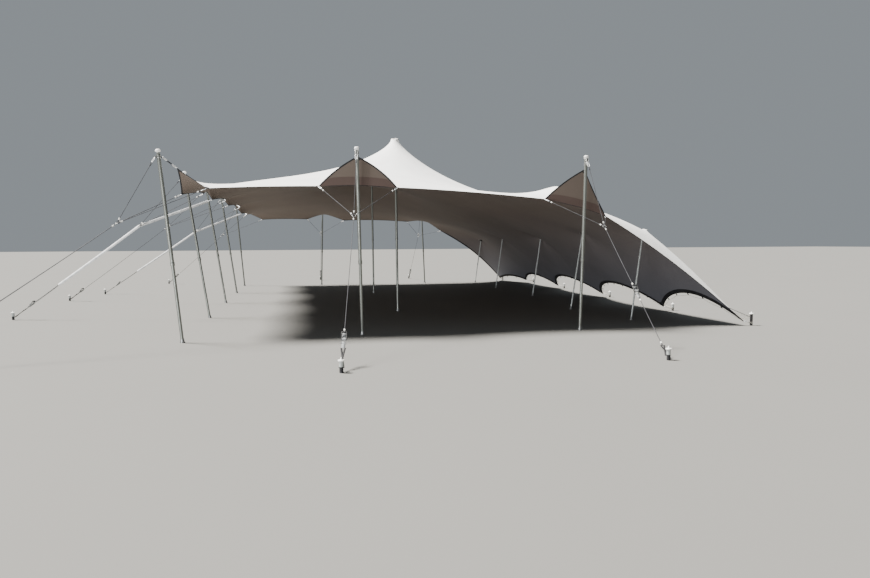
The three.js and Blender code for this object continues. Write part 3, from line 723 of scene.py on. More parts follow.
def metal_finish(name, clean, dull, grain, **values):
    """A metal with fine marks of its making, which `grain` stretches, and a cloudy tint."""
    material, tree, shader, spot = bare_material(name, **values)
    stretched = add(tree, "ShaderNodeMapping", {"Vector": spot, "Scale": grain})
    marks = add(tree, "ShaderNodeTexNoise", {"Vector": stretched, "Scale": 60.0, "Detail": 4.0})
    cloudy = add(tree, "ShaderNodeTexNoise", {"Vector": spot, "Scale": 2.5, "Detail": 5.0})
    rough = add(tree, "ShaderNodeMapRange", {"Value": marks, "From Min": 0.3, "From Max": 0.7,
                                             "To Min": 0.28, "To Max": 0.5})
    tree.links.new(rough.outputs[0], shader.inputs["Roughness"])
    end_finish(tree, shader, cloudy, (clean, dull), marks, 0.15, 0.0001)
    return material


def moulded_finish(name, clean, dirty, **values):
    """A moulded plastic with a faint pebble of 2 mm and patches of dirt."""
    material, tree, shader, spot = bare_material(name, **values)
    dirt = patches(tree, spot, 14.0, 5.0, 0.5, 0.8)
    pebble = add(tree, "ShaderNodeTexVoronoi", {"Vector": spot, "Scale": 500.0})
    end_finish(tree, shader, dirt, (clean, dirty), pebble, 0.1, 0.0004)
    return material


# The marks on a drawn tube are long and thin, and those on other metals are even.
DRAWN = (1.0, 1.0, 0.05)
EVEN = (1.0, 1.0, 1.0)

# Stretch polyester with a pale acrylic coat on its weather side: chalky white, faintly dusty.
TOP = cloth_finish("coated_stretch_polyester", "#F6F6F4", "#E4E4E1", knit=0.004, Roughness=0.62)
# The uncoated knit of the underside: taupe, partly its own colour and partly painted shade under
# the roof.
# Its turn to cooler grey near the ground is painted light: warm bounce above, cool sky light below.
UNDERSIDE_PAINTED_LIGHT_AND_SHADE = cloth_finish("knitted_stretch_polyester", "#6B5F56", "#717177", knit=0.006, Roughness=0.92)
# Black polyester webbing: nearly matt, a little grey where it has rubbed.
BLACK_WEBBING = woven_finish("woven_polyester_webbing", "#141315", "#2C2B2D", 0.004, Roughness=0.8)
# White polyester lashing strap, greyed by use.
WHITE_WEBBING = woven_finish("woven_lashing_strap", "#E3E4E4", "#BDBEBF", 0.004, Roughness=0.72)
# Grey webbing in the ratchets: its rolled part and its short ends.
GREY_WEBBING = woven_finish("woven_grey_webbing", "#7D7F80", "#9A9C9C", 0.004, Roughness=0.78)
# Dark laid polypropylene rope: waxy, a little paler where it is worn.
DARK_ROPE = woven_finish("laid_polypropylene_rope", "#2B2B2F", "#46464A", 0.003, relief=0.25,
                         Roughness=0.7)
# Pale polyester cord of the lacing.
PALE_CORD = woven_finish("laid_polyester_cord", "#B9B6AC", "#8D8A80", 0.002, Roughness=0.7)
# Drawn and anodised aluminium tube: satin, with lengthways draw marks; its grey is darkened as
# painted shade.
ALUMINIUM = metal_finish("anodised_aluminium_tube", "#7E817C", "#6A6C66", DRAWN, Metallic=0.65)
# The same tube, lighter and less shiny on the short poles: painted light, so they stay light in
# shade.
LIGHTER_ALUMINIUM_PAINTED_LIGHT = metal_finish("drawn_aluminium_tube", "#C4C8C6", "#A6AAA8", DRAWN, Metallic=0.4)
# Hot-dip galvanised steel: dull grey and mottled.
STEEL = metal_finish("galvanised_steel", "#9B9C9A", "#6F7070", EVEN, Metallic=0.9)
# Bright zinc on the screw links: pale, with a soft shine; its near-white is partly its own, partly
# painted highlight.
ZINC_WITH_PAINTED_GLINT = metal_finish("zinc_plated_steel", "#E2E4E4", "#C6C8C8", EVEN, Metallic=0.4)
# A second layer of the same knit under the front and back peaks, redder: painted shade, as less
# light passes.
FACING_PAINTED_SHADE = cloth_finish("doubled_stretch_polyester", "#5A4A44", "#5A4A44", knit=0.006,
                      Roughness=0.92)
# White polyester cord of the whippings and of the slings round the poles' heads.
WHITE_CORD = woven_finish("whipping_cord", "#ECECE8", "#C4C2BA", 0.003, Roughness=0.6)
# Grey moulded sleeve of the stakes.
GREY_PLASTIC = moulded_finish("moulded_grey_polyethylene", "#9FA3A0", "#6F716B", Roughness=0.5)
# White moulded nylon of the pole heads and the stakes' caps.
WHITE_PLASTIC = moulded_finish("moulded_white_nylon", "#EDEDEA", "#B9B6AC", Roughness=0.45)
# Black rubber of the inner poles' domes and the ratchets' grips.
BLACK_RUBBER = moulded_finish("moulded_black_rubber", "#1A1A1B", "#3D3A36", Roughness=0.75)


# The cloth.
def grid_lines(fixed_lines):
    """The grid's lines: each stretch between two fixed lines is cut into equal cells and steps."""
    lines = [0.0]
    for start, end in zip(fixed_lines, fixed_lines[1:]):
        steps = max(1, round((end - start) / CELL_SIZE)) * CELL_STEPS
        lines.extend(np.linspace(start, end, steps + 1)[1:])
    return np.array(lines)


def half_spans(lines):
    ends = np.concatenate([lines[:1], lines, lines[-1:]])
    return (ends[2:] - ends[:-2]) / 2


def patch_stiffness(x, y):
    most = np.ones_like(x)
    for px, py, _, cone in PUSHED_PEAKS:
        most = np.maximum(most, cone / np.maximum(np.hypot(x - px, y - py), PATCH_RADIUS))
    for px, py in HUNG_PEAKS:
        reach = np.maximum(np.hypot(x - px, y - py), HUNG_PATCH_RADIUS)
        most = np.maximum(most, HUNG_PATCH_CONE / reach)
    return most


def webbing_along_x(x, y):
    edge = (y == 0) | (y == CUT_DEPTH)
    pull = np.where(edge, np.where(x > LAST_FOOT, SLOPE_EDGE_TENSION, EDGE_TENSION), 0.0)
    for start, end in BANDS_ALONG_X:
        between = (x > start) & (x < end)
        pull[(y == HEM_FOLD) & between] = FRONT_BAND_TENSION
        pull[(y == CUT_DEPTH - HEM_FOLD) & between] = BAND_TENSION
    return pull


def webbing_along_y(x, y):
    pull = np.where(x == 0, EDGE_TENSION, np.where(x == CUT_WIDTH, GROUND_EDGE_TENSION, 0.0))
    for start, end in BANDS_ALONG_Y:
        pull[(x == HEM_FOLD) & (y > start) & (y < end)] = BAND_TENSION
    for band in BANDS_ALONG_X:
        pull[(y < HEM_FOLD) & np.isin(x, band)] = FRONT_BAND_TENSION
        pull[(y > CUT_DEPTH - HEM_FOLD) & np.isin(x, band)] = BAND_TENSION
    return pull


def bow_rims(place, free, gx):
    """Holds the front rim between two held points on a flat curve that bows outwards."""
    for (start, end), bow in BOWED_RIMS.items():
        low, high = np.array(HELD_EDGE[(start, 0)], float), np.array(HELD_EDGE[(end, 0)], float)
        chord = high - low
        outward = np.array([0, 0, 1.0]) - chord[2] * chord / (chord @ chord)
        outward *= np.linalg.norm(chord) / np.linalg.norm(outward)
        between = (gx > start) & (gx < end)
        share = ((gx[between] - start) / (end - start))[:, None]
        place[0, between] = low + share * chord + 4 * bow * share * (1 - share) * outward
        free[0, between] = False


def held_cloth(gx, gy, x, y):
    """The places that the cloth's points start from, and which of them are free to move."""
    place = np.stack([x, y, START_HEIGHT - START_FALL * x], -1)
    free = np.ones(x.shape, bool)
    for (px, py), at in HELD_EDGE.items():
        here = np.searchsorted(gy, py), np.searchsorted(gx, px)
        place[here] = at
        free[here] = False
    bow_rims(place, free, gx)
    for px, py, pole, _ in PUSHED_PEAKS:
        near = np.hypot(x - px, y - py) < PATCH_RADIUS
        head = INNER_POLES[pole][1]
        domed = head[2] - HEAD_DOME * ((x - px) ** 2 + (y - py) ** 2)
        place[near] = np.stack([x - px + head[0], y - py + head[1], domed], -1)[near]
        free[near] = False
    return place, free


def cloth_pulls(gx, gy, x, y):
    """How hard each stretch of the grid's lines pulls for its length, along X and along Y."""
    stiff = patch_stiffness(x, y)
    wide, deep = np.diff(gx)[None, :], np.diff(gy)[:, None]
    pull_x = half_spans(gy)[:, None] * (stiff[:, 1:] + stiff[:, :-1]) / 2
    pull_x = (pull_x + 1000 * webbing_along_x(x[:, :-1] + wide / 2, y[:, :-1])) / wide
    pull_y = half_spans(gx)[None, :] * (stiff[1:] + stiff[:-1]) / 2
    pull_y = (pull_y + 1000 * webbing_along_y(x[:-1], y[:-1] + deep / 2)) / deep
    return pull_x, pull_y


def cloth_lift(x, y):
    """How hard the cloth's fullness lifts each point, and leans it outwards on the long slopes."""
    to_side = np.minimum(y, CUT_DEPTH - y)
    bow = FULLNESS + EDGE_FULLNESS * np.exp(-np.minimum(x, to_side) / EDGE_FULLNESS_REACH)
    slope = SLOPE_FULLNESS * np.clip((x - LAST_FOOT) / SLOPE_FULLNESS_START, 0, 1)
    slope = slope * np.exp(-to_side / SLOPE_FULLNESS_REACH)
    swell = sum(much * np.exp(-((x - px) / wide_reach) ** 2 - ((y - py) / deep_reach) ** 2)
                for much, px, py, wide_reach, deep_reach in SWELLS)
    swell = swell * np.clip((y - HEM_FOLD) / SWELL_START, 0, 1)
    return np.stack([SLOPE_LEAN * slope, 0 * slope, bow + slope + swell], -1)


def drawn_in(value, along_x, along_y, before, after):
    """For each point, the sum over its four stretches of their pull times a value beside it."""
    total = np.zeros_like(value)
    total[:, 1:] += along_x * before[0]
    total[:, :-1] += along_x * after[0]
    total[1:] += along_y * before[1]
    total[:-1] += along_y * after[1]
    return total


def relaxed_cloth(gx, gy):
    """The shape that the cloth's own tension pulls it into between its held points, by letting
    each point of the grid settle between its neighbours again and again."""
    x, y = np.meshgrid(gx, gy)
    place, free = held_cloth(gx, gy, x, y)
    pull_x, pull_y = cloth_pulls(gx, gy, x, y)
    own_share = half_spans(gx)[None, :] * half_spans(gy)[:, None] / 1000
    lift = cloth_lift(x, y) * own_share[..., None]
    whole = drawn_in(x, pull_x, pull_y, (1, 1), (1, 1))[..., None]
    step_x, step_y = pull_x[..., None], pull_y[..., None]
    even = (np.add.outer(np.arange(len(gy)), np.arange(len(gx))) % 2).astype(bool)
    for _ in range(ROUNDS):
        for turn in (free & even, free & ~even):
            before, after = (place[:, :-1], place[:-1]), (place[:, 1:], place[1:])
            drawn = drawn_in(place, step_x, step_y, before, after) + lift
            place[turn] += OVERSHOOT * (drawn / whole - place)[turn]
    return place


def line_directions(place, axis):
    """Which way the grid's lines run at each point: halfway between the stretches on both sides."""
    steps = np.diff(place, axis=axis)
    steps /= np.linalg.norm(steps, axis=-1, keepdims=True)
    first, last = steps.take([0], axis), steps.take([-1], axis)
    return np.concatenate([first, steps], axis) + np.concatenate([steps, last], axis)


def hang_cloth():
    """The middle surface of the cloth in the row frame, in metres, and its outward directions."""
    place = relaxed_cloth(GRID_X, GRID_Y)
    place = (place - np.array([*MIDDLE, 0])) / 1000
    outward = np.cross(line_directions(place, 1), line_directions(place, 0))
    outward /= np.linalg.norm(outward, axis=-1, keepdims=True)
    return place, outward


GRID_X, GRID_Y = grid_lines(LINES_X), grid_lines(LINES_Y)
CLOTH, OUTWARD = hang_cloth()


def on_cloth(x, y, lift=0.0):
    """Points of the hung cloth for flat points in millimetres, moved `lift` metres outwards."""
    x, y = np.asarray(x, float), np.asarray(y, float)
    i = np.clip(np.searchsorted(GRID_X, x, side="right") - 1, 0, len(GRID_X) - 2)
    j = np.clip(np.searchsorted(GRID_Y, y, side="right") - 1, 0, len(GRID_Y) - 2)
    s = ((x - GRID_X[i]) / (GRID_X[i + 1] - GRID_X[i]))[..., None]
    t = ((y - GRID_Y[j]) / (GRID_Y[j + 1] - GRID_Y[j]))[..., None]

    def between(field):
        low = (1 - s) * field[j, i] + s * field[j, i + 1]
        high = (1 - s) * field[j + 1, i] + s * field[j + 1, i + 1]
        return (1 - t) * low + t * high

    return between(CLOTH) + between(OUTWARD) * np.asarray(lift)[..., None]


def sewn_on(x, y, high, low):
    """A closed sheet over a grid of flat points, between two heights above the cloth in
    millimetres. Below the cloth they are negative."""
    high, low = np.broadcast_to(high, x.shape) / 1000, np.broadcast_to(low, x.shape) / 1000
    return sheet_shape(on_cloth(x, y, high), on_cloth(x, y, low))


def flat_points(x, y):
    return np.stack([x.ravel(), y.ravel()], -1)


def flat_uv(piece, points):
    """Gives a piece the flat cloth as its UV map, from its points' places on the flat cloth."""
    layer = piece.data.uv_layers.new(name="flat_cut")
    corner = np.empty(len(piece.data.loops), np.int32)
    piece.data.loops.foreach_get("vertex_index", corner)
    share = points / np.array([CUT_WIDTH, CUT_DEPTH])
    layer.data.foreach_set("uv", share[corner].astype(np.float32).ravel())


def make_cloth():
    half = CLOTH_THICKNESS / 2000
    points, faces = sheet_shape(CLOTH + OUTWARD * half, CLOTH - OUTWARD * half)
    cells = (len(GRID_X) - 1) * (len(GRID_Y) - 1)
    side = np.zeros(len(faces), int)
    side[cells:2 * cells] = 1
    # The underside's material carries painted shade and painted light.
    cloth = new_piece("canopy_cloth", points, faces, [TOP, UNDERSIDE_PAINTED_LIGHT_AND_SHADE], side, crease=60)
    flat = flat_points(*np.meshgrid(GRID_X, GRID_Y))
    flat_uv(cloth, np.concatenate([flat, flat]))
    settle(cloth, "canopy")
    return cloth


# What is sewn along the rim is measured on the hung cloth, because the flat cloth is drawn out to
# several times its length at the peaks. A hem is wider on the long slopes and at the ground.
HEM_WIDTH = 22
SLOPE_HEM_WIDTH = 48
GROUND_HEM_WIDTH = 90
HEM_STEPS_AT_RIM = (-3, 0, 5, 9)
TAPE_HALF = 7
FACING_HEIGHT = 140
TIP_REACH = 70
FOOT_TIP_REACH = 36
GROUND_TIP_REACH = 130
TIP_STEPS = 13

# How high above the middle of the cloth the upper and under sides of what is sewn on lie, the
# hems' at each step in from the rim. Tapes and facings start inside the cloth.
TIP_TOP, TIP_UNDERSIDE = 2.4, -5.2
INSIDE_CLOTH = -1.0
TAPE_UNDERSIDE = -4.0
FACING_UNDERSIDE = -3.2
HEM_TOP = np.array([3.0, 3.2, 3.0, -1.0, -1.0, -1.0])
HEM_UNDERSIDE = np.full(6, -4.2)
GROUND_HEM_UNDERSIDE = np.array([-6.0, -9.0, -12.0, -14.0, -14.0, -6.0])

FLAT_STEPS = np.linspace(0, 420, 106)
WAY_IN = {"front": (0, 1), "back": (0, -1), "left": (1, 0), "right": (-1, 0)}


def hung_lengths(x, y, way_x, way_y):
    """How long the hung cloth is from each point to the flat distances FLAT_STEPS in one way."""
    path = on_cloth(x[:, None] + way_x[:, None] * FLAT_STEPS,
                    y[:, None] + way_y[:, None] * FLAT_STEPS)
    lengths = np.cumsum(np.linalg.norm(np.diff(path, axis=1), axis=-1), axis=1) * 1000
    return np.concatenate([np.zeros((len(x), 1)), lengths], 1)


def flat_distances(lengths, wanted):
    """The flat distances that the wanted ones on the hung cloth come from."""
    flat = [np.interp(some, row, FLAT_STEPS) for row, some in zip(lengths, wanted)]
    outside = np.minimum(wanted, 0) * (FLAT_STEPS[1] / lengths[:, 1])[:, None]
    return np.array(flat) + outside


def side_lengths(side, along):
    way = WAY_IN[side]
    start = np.full(len(along), {"back": CUT_DEPTH, "right": CUT_WIDTH}.get(side, 0.0))
    x, y = (along, start) if way[0] == 0 else (start, along)
    return hung_lengths(x, y, np.full(len(along), way[0]), np.full(len(along), way[1]))


def rim_strip(side, along, inward, high, low):
    """A closed strip along a side: flat distances from the rim for each of its points, and the
    strip's upper and lower heights at them. Gives the flat grid too."""
    if side in ("back", "right"):
        inward, high, low = inward[:, ::-1], high[::-1], low[::-1]
    inward = {"back": CUT_DEPTH - inward, "right": CUT_WIDTH - inward}.get(side, inward)
    along = np.broadcast_to(along[:, None], inward.shape)
    if WAY_IN[side][0] == 0:
        x, y, high, low = along.T, inward.T, high[:, None], low[:, None]
    else:
        x, y, high, low = inward, along, high[None, :], low[None, :]
    return x, y, sewn_on(x, y, high, low)


def sewn_piece(name, shapes, material):
    piece = new_piece(name, *joined(shapes), [material], crease=60)
    settle(piece)
    return piece


def make_hems():
    """Webbing sewn under the cloth's edge and turned up a little over its rim."""
    shapes = []
    for side, way in WAY_IN.items():
        along = GRID_X if way[0] == 0 else GRID_Y
        width = np.full(len(along), GROUND_HEM_WIDTH if side == "right" else HEM_WIDTH)
        if way[0] == 0:
            width[along > LAST_FOOT] = SLOPE_HEM_WIDTH
        rim = np.tile(HEM_STEPS_AT_RIM, (len(along), 1))
        inward = flat_distances(side_lengths(side, along),
                                np.column_stack([rim, width / 2, width]))
        low = GROUND_HEM_UNDERSIDE if side == "right" else HEM_UNDERSIDE
        shapes.append(rim_strip(side, along, inward, HEM_TOP, low)[2])
    return sewn_piece("canopy_hems", shapes, BLACK_WEBBING)


def make_tips():
    """Round reinforcements sewn in at every held point of the edge."""
    shapes = []
    for x, y in HELD_EDGE:
        reach = TIP_REACH if (x, y) in HUNG_PEAKS else FOOT_TIP_REACH
        low, high = (0, 180) if y == 0 else (-180, 0) if y == CUT_DEPTH else (-90, 90)
        if x == 0:
            low, high = max(low, -90), min(high, 90)
        if x == CUT_WIDTH:
            reach = GROUND_TIP_REACH
            low, high = (90 if y < CUT_DEPTH else 180), (180 if y == 0 else 270)
        angle = np.radians(np.linspace(low, high, TIP_STEPS))
        way_x, way_y = np.cos(angle), np.sin(angle)
        lengths = hung_lengths(np.full(TIP_STEPS, float(x)), np.full(TIP_STEPS, float(y)),
                               way_x, way_y)
        radius = flat_distances(lengths, np.tile(np.linspace(3, reach, 6), (TIP_STEPS, 1)))
        shapes.append(sewn_on(x + radius * way_x[:, None], y + radius * way_y[:, None],
                              TIP_TOP, TIP_UNDERSIDE))
    return sewn_piece("canopy_tips", shapes, BLACK_WEBBING)


def bands():
    """Each sewn band across the foot of a hung peak: its side, its points along that side, the
    lengths of the hung cloth in from them, and how long the cloth is from the rim to the band."""
    spans = [(side, GRID_X, span) for side in ("front", "back") for span in BANDS_ALONG_X]
    spans += [("left", GRID_Y, span) for span in BANDS_ALONG_Y]
    for side, lines, (start, end) in spans:
        along = lines[(lines >= start) & (lines <= end)]
        lengths = side_lengths(side, along)
        deep = np.array([np.interp(HEM_FOLD, FLAT_STEPS, row) for row in lengths])
        yield side, along, lengths, deep


def make_tapes():
    """Narrow tapes across the foot of each hung peak, under the cloth."""
    shapes = []
    for side, along, lengths, deep in bands():
        inward = flat_distances(lengths, deep[:, None] + np.array([-TAPE_HALF, 0, TAPE_HALF]))
        shapes.append(rim_strip(side, along, inward, np.full(3, INSIDE_CLOTH),
                                np.full(3, TAPE_UNDERSIDE))[2])
    return sewn_piece("canopy_tapes", shapes, BLACK_WEBBING)


def make_facings():
    """Second layers of cloth sewn under the foot of each front and back peak, beside the tape."""
    shapes, flat = [], []
    for side, along, lengths, deep in bands():
        if side == "left":
            continue
        first = np.maximum(deep - FACING_HEIGHT, HEM_WIDTH - 4)
        share = np.linspace(0, 1, 7)
        inward = flat_distances(lengths, first[:, None] + (deep - first)[:, None] * share)
        x, y, shape = rim_strip(side, along, inward, np.full(7, INSIDE_CLOTH),
                                np.full(7, FACING_UNDERSIDE))
        shapes.append(shape)
        flat.extend([flat_points(x, y)] * 2)
    # The facings' darker, redder colour is painted shade.
    facings = sewn_piece("canopy_facings", shapes, FACING_PAINTED_SHADE)
    flat_uv(facings, np.concatenate(flat))
    return facings


# Poles. Their parts' profiles are radii and heights: the collar beyond the tube's radius and from
# its lower side, the cap from its lower rim, and the dome of an inner pole beyond the tube's
# radius (its neck) and beyond the dome's own (its rim).
COLLAR = [(0, 0), (6, 0), (8, 3), (8, 17), (6, 20), (0, 20)]
CAP = [(0, -8), (21, -8), (29, 1), (37, 3), (40, 7), (40, 18), (38, 28), (31, 37), (18, 42)]
CAP_SPIGOT = [(21, -20), (21, -6), (0, -6)]
DOME_NECK = [(3, -78), (5, -70)]
DOME_RIM = [(-8, -36), (0, -26), (0, -18)]
DOME_SHARES = (0.94, 0.75, 0.5, 0.25, 0)


def axis_of(foot, head):
    """A pole's lowest point, its direction and its length in millimetres."""
    start = Vector((*foot, FOOT_THICKNESS / 2))
    along = Vector(head) - start
    return start, along.normalized(), along.length


def shoe_and_cup(foot, start_place, wide, thin):
    """A pole's round steel foot, flat on the ground, and the cup that the tube stands in."""
    edge = wide + FOOT_MARGIN
    shoe = [(0, 0), (edge, 0), (edge, FOOT_THICKNESS - 4), (edge - 3, FOOT_THICKNESS),
            (0, FOOT_THICKNESS)]
    cup = [(0, 4), *moved([(10, 4), (9, 18), (4, 52), (3, 60)], thin, 0), (0, 60)]
    return [turned(shoe, 28, stand(metres(foot), UP)), turned(cup, 28, start_place)]


def clamped_tube(thin, wide, at, half, flat, proud):
    """The profile of a thinner tube in a wider one, with the clamp round where they meet."""
    clamp = [(proud - 1, -half), (proud, -flat), (proud, flat), (proud - 1, half), (0, half)]
    return [(0, 0), (thin, 0), (thin, at - half), *moved(clamp, wide, at)]


def stand_pole(name, foot, place, wide, thin, tube, dome, tube_finish, dome_finish):
    """A pole of a tube, a dome, a shoe and a cup, in its node's place."""
    parts = [(tube, 0), (dome, 1)]
    parts += [(shape, 2) for shape in shoe_and_cup(foot, place, wide, thin)]
    pole = of_parts(f"{name}_tube", parts, [tube_finish, dome_finish, STEEL])
    settle(pole, name)


def make_outer_pole(name, foot, head, r):
    """Two-stage tube: the thinner foot tube, a clamp, the wider head tube, and a domed head."""
    start, along, length = axis_of(foot, head)
    place = stand(metres(start), along, (1, 0, 0))
    thin = r - 2.5
    cap = length - CAP_HEIGHT
    shaft = [*clamped_tube(thin, r, OUTER_CLAMP_AT, 30, 26, 5),
             *moved(COLLAR, r, length - COLLAR_DROP), (r, cap - 26), *moved(CAP_SPIGOT, 0, cap)]
    dome = [*moved(CAP, 0, cap), (0, length)]
    stand_pole(name, foot, place, r, thin, turned(shaft, 28, place), turned(dome, 28, place),
               ALUMINIUM, WHITE_PLASTIC)


def make_inner_pole(name, foot, head, r):
    """A tube under a pushed-up peak, with a broad upright dome that the cloth lies on."""
    start, along, length = axis_of(foot, head)
    place = stand(metres(start), along, (1, 0, 0))
    thin = r - 2
    shaft = [*clamped_tube(thin, r, length * INNER_CLAMP_SHARE, 25, 20, 4), (r, length - 40),
             (0, length - 40)]
    wide = r + DOME_MARGIN
    under_cloth = [(wide * share, -HEAD_CLEARANCE - HEAD_DOME * (wide * share) ** 2)
                   for share in DOME_SHARES]
    dome = [(0, -78), *moved(DOME_NECK, r, 0), *moved(DOME_RIM, wide, 0), *under_cloth]
    # The short wall poles take the lighter copy of the tube, which is painted light.
    stand_pole(name, foot, place, r, thin, turned(shaft, 24, place),
               turned(dome, 32, stand(metres(head), UP)),
               LIGHTER_ALUMINIUM_PAINTED_LIGHT if "wall" in name else ALUMINIUM, BLACK_RUBBER)


# Small parts that are set out many times. Each one's own Z points along the line it is in.
def link_part():
    """Oval screw link of bent round bar, with its long nut. Its near end is at the origin."""
    half, far = LINK_WIDTH / 2, LINK_LENGTH - LINK_WIDTH / 2
    path = arc(0, half, half, 180, 360, 8) + arc(0, far, half, 0, 180, 8)
    bar = bent_bar(path, LINK_BAR / 1000, 10, Vector((0, 1, 0)))
    nut = [(0, 32), (6, 32), (8, 34), (8, 54), (6, 56), (0, 56)]
    shapes = [bar, turned(nut, 6, Matrix.Translation((half / 1000, 0, 0)))]
    return new_piece("link_part", *joined(shapes), [])


def knot_part():
    """Whipping over the end of a rope's eye: four turns, each a little proud."""
    profile = [(0, 0), (8, 0)]
    for turn in range(4):
        profile += moved([(9, 0), (11, 2), (11, 5), (9, 6.5)], 0, 1 + turn * (KNOT_LENGTH - 2) / 4)
    profile += [(8, KNOT_LENGTH), (0, KNOT_LENGTH)]
    return new_piece("knot_part", *turned(profile, 14, Matrix()), [], crease=60)


def tab_part():
    """Loop of narrow webbing that stands out from the hem, folded over at its outer end."""
    half, reach = 13, 52
    fold = arc(0, reach - 6, 6, 0, 180, 6)
    middle = [Vector((0.0015, 0, -0.02)), *fold, Vector((-0.0015, 0, -0.02))]
    points = [Vector((side * half / 1000, p.x, p.z)) for p in middle for side in (-1, 1)]
    inner = [Vector((q.x, q.y * 0.62, q.z - 0.0025 if q.z > 0 else q.z)) for q in points]
    count = len(points)
    faces = []
    for k in range(0, count - 2, 2):
        faces.append((k, k + 2, k + 3, k + 1))
        faces.append((k + count, k + 1 + count, k + 3 + count, k + 2 + count))
        faces.append((k, k + count, k + 2 + count, k + 2))
        faces.append((k + 1, k + 3, k + 3 + count, k + 1 + count))
    faces.append((0, 1, count + 1, count))
    faces.append((count - 2, 2 * count - 2, 2 * count - 1, count - 1))
    return new_piece("tab_part", points + inner, faces, [])


LINK_PART, KNOT_PART, TAB_PART = link_part(), knot_part(), tab_part()


# Guys.
def held_at(key):
    return metres(HELD_EDGE[key])


def hook(hold, towards):
    """Where a fitting starts, just outside a held point of the cloth."""
    return hold + (towards - hold).normalized() * HOOK_REACH / 1000


def stake_side(stake, ring):
    """Where the webbing meets a stake, on the side of it that faces the ring."""
    post = metres((*stake, LOOP_HEIGHT))
    back = (ring - post).normalized()
    return post + Vector((back.x, back.y, 0)).normalized() * (STAKE_RADIUS + LOOP_GAP) / 1000


def sagged(start, end, drop, steps=14):
    """Points between two ends with a slight sag of `drop` metres in the middle."""
    shares = [k / steps for k in range(steps + 1)]
    return [start.lerp(end, t) - Vector((0, 0, 4 * drop * t * (1 - t))) for t in shares]


class Guy:
    """One guy: its places, and its ropes, straps and small parts, gathered before the pieces are
    made."""

    def __init__(self, name):
        ring, stake, holds = GUYS[name]
        self.name, self.ring = name, metres(ring)
        self.peak, self.near_hold, self.far_hold = [held_at(key) for key in holds]
        self.foot = stake_side(stake, self.ring)
        self.line = (self.ring - self.foot).normalized()
        self.level = UP.cross(self.line).normalized()
        at = HIGH_RATCHETS.get(name, RATCHET_AT) / 1000
        self.ratchet = self.foot + self.line * at
        self.top = self.foot + self.line * (at + RATCHET_HALF)
        self.bottom = self.foot + self.line * (at - RATCHET_HALF)
        self.ropes, self.links, self.knots, self.bindings, self.straps = [], [], [], [], []

    def rim(self, target):
        """The side of the ring that faces a target."""
        return self.ring + (target - self.ring).normalized() * RING_RADIUS / 1000

    def eye(self, tip, along, linked, whipped):
        """An eye of rope round what is at the tip, or round a link there, whipped with white cord
        or bound with the rope's own yarn. Gives where it ends."""
        level = along.cross(UP).normalized()
        if linked:
            self.links.append(stand(tip, along, level))
            tip = tip + along * (LINK_LENGTH / 1000)
        over = stand(tip, along, along.cross(level))
        bend = [over @ p for p in arc(0, 5, 10, 180, 360, 8)]
        first, last = [over @ Vector((x, 0, EYE_LENGTH / 1000)) for x in (-0.004, 0.004)]
        self.ropes.append(([first, *bend, last], False))
        kind = self.knots if whipped else self.bindings
        kind.append(stand(tip + along * (EYE_LENGTH - 8) / 1000, along, level))
        return tip + along * (EYE_LENGTH / 1000)

    def rope(self, start, end, linked_start, linked_end, drop=0.0, whipped=(True, True)):
        along = (end - start).normalized()
        first = self.eye(start, along, linked_start, whipped[0])
        last = self.eye(end, -along, linked_end, whipped[1])
        self.ropes.append((sagged(first, last, drop), False))

    def rope_pair(self, start, end, apart_start, apart_end, drop):
        """Two ropes side by side, a little apart."""
        for way in (-1, 1):
            line = sagged(start + apart_start * way, end + apart_end * way, drop)
            self.ropes.append((line, False))

    def tie_peak(self, eye):
        """From the pole's ear to the cloth's peak: a rope between two links, or only a link and a
        short rope where there is no room."""
        tie = hook(self.peak, eye)
        if (self.peak - eye).length >= 2 * LINK_ROOM / 1000:
            self.rope(eye, tie, True, True, whipped=(False, False))
            return
        way, back = tie - eye, eye - tie
        self.ropes.append((sagged(eye, tie, 0.0, 4), False))
        if way.length > LINK_LENGTH / 1000:
            self.links.append(stand(eye, way, way.cross(UP)))
        self.bindings.append(stand(tie + back.normalized() * BINDING_AT, back))

    def tie_ring(self, eye):
        """From the ring to the pole's ear, and to the cloth on each side of the peak, where a
        strap takes the place of the further rope."""
        self.rope(eye, self.rim(eye), True, False, whipped=(False, True))
        self.rope(self.rim(self.near_hold), hook(self.near_hold, self.ring), False, True)
        if self.name not in STRAP_GUYS:
            self.rope(self.rim(self.far_hold), hook(self.far_hold, self.ring), False, True)

    def tie_stake(self):
        """Below the ratchet: its lower end of webbing, and the crossed webbing round the stake,
        with a rope between them where the ratchet hangs high. Gives the crossed webbing."""
        crossing = self.bottom - self.line * WEBBING_OUT
        if self.name in HIGH_RATCHETS:
            low_end = self.foot + self.line * LOW_ROPE_END
            self.rope(crossing, low_end, False, False, LOW_ROPE_SAG)
            crossing = low_end
        spread, end = self.level * CROSS_SPREAD, self.foot + self.line * STAKE_GAP
        return [([crossing + spread, end - spread], False),
                ([crossing - spread, end + spread], False)]

    def haul(self):
        """From the ratchet up to the ring: one rope, two ropes, or two ropes and a strap that
        goes on to the cloth."""
        start, end = self.top + self.line * RATCHET_EYE, self.rim(self.foot)
        if self.name in STRAP_GUYS:
            joint = self.foot + self.line * STRAP_JOINT_AT
            back = self.ring - self.far_hold
            strap_end = self.far_hold + back.normalized() * STRAP_END
            self.straps.append((sagged(joint, self.ring, STRAP_SAG), False))
            self.straps.append((sagged(self.ring, strap_end, SHORT_SAG), False))
            self.links.append(stand(hook(self.far_hold, self.ring), back, back.cross(UP)))
            self.rope_pair(start, joint, self.level * STRAP_ROPES_APART,
                           self.level * JOINT_APART, SHORT_SAG)
            self.knots.append(stand(joint - self.line * STRAP_KNOT_BACK, self.line, self.level))
        elif self.name in DOUBLED_GUYS:
            self.rope_pair(start, end, self.level * ROPES_APART, Vector(), ROPE_SAG)
            self.knots.append(stand(end - self.line * ROPE_KNOT_BACK, self.line, self.level))
        else:
            self.rope(start, end, False, False, ROPE_SAG)


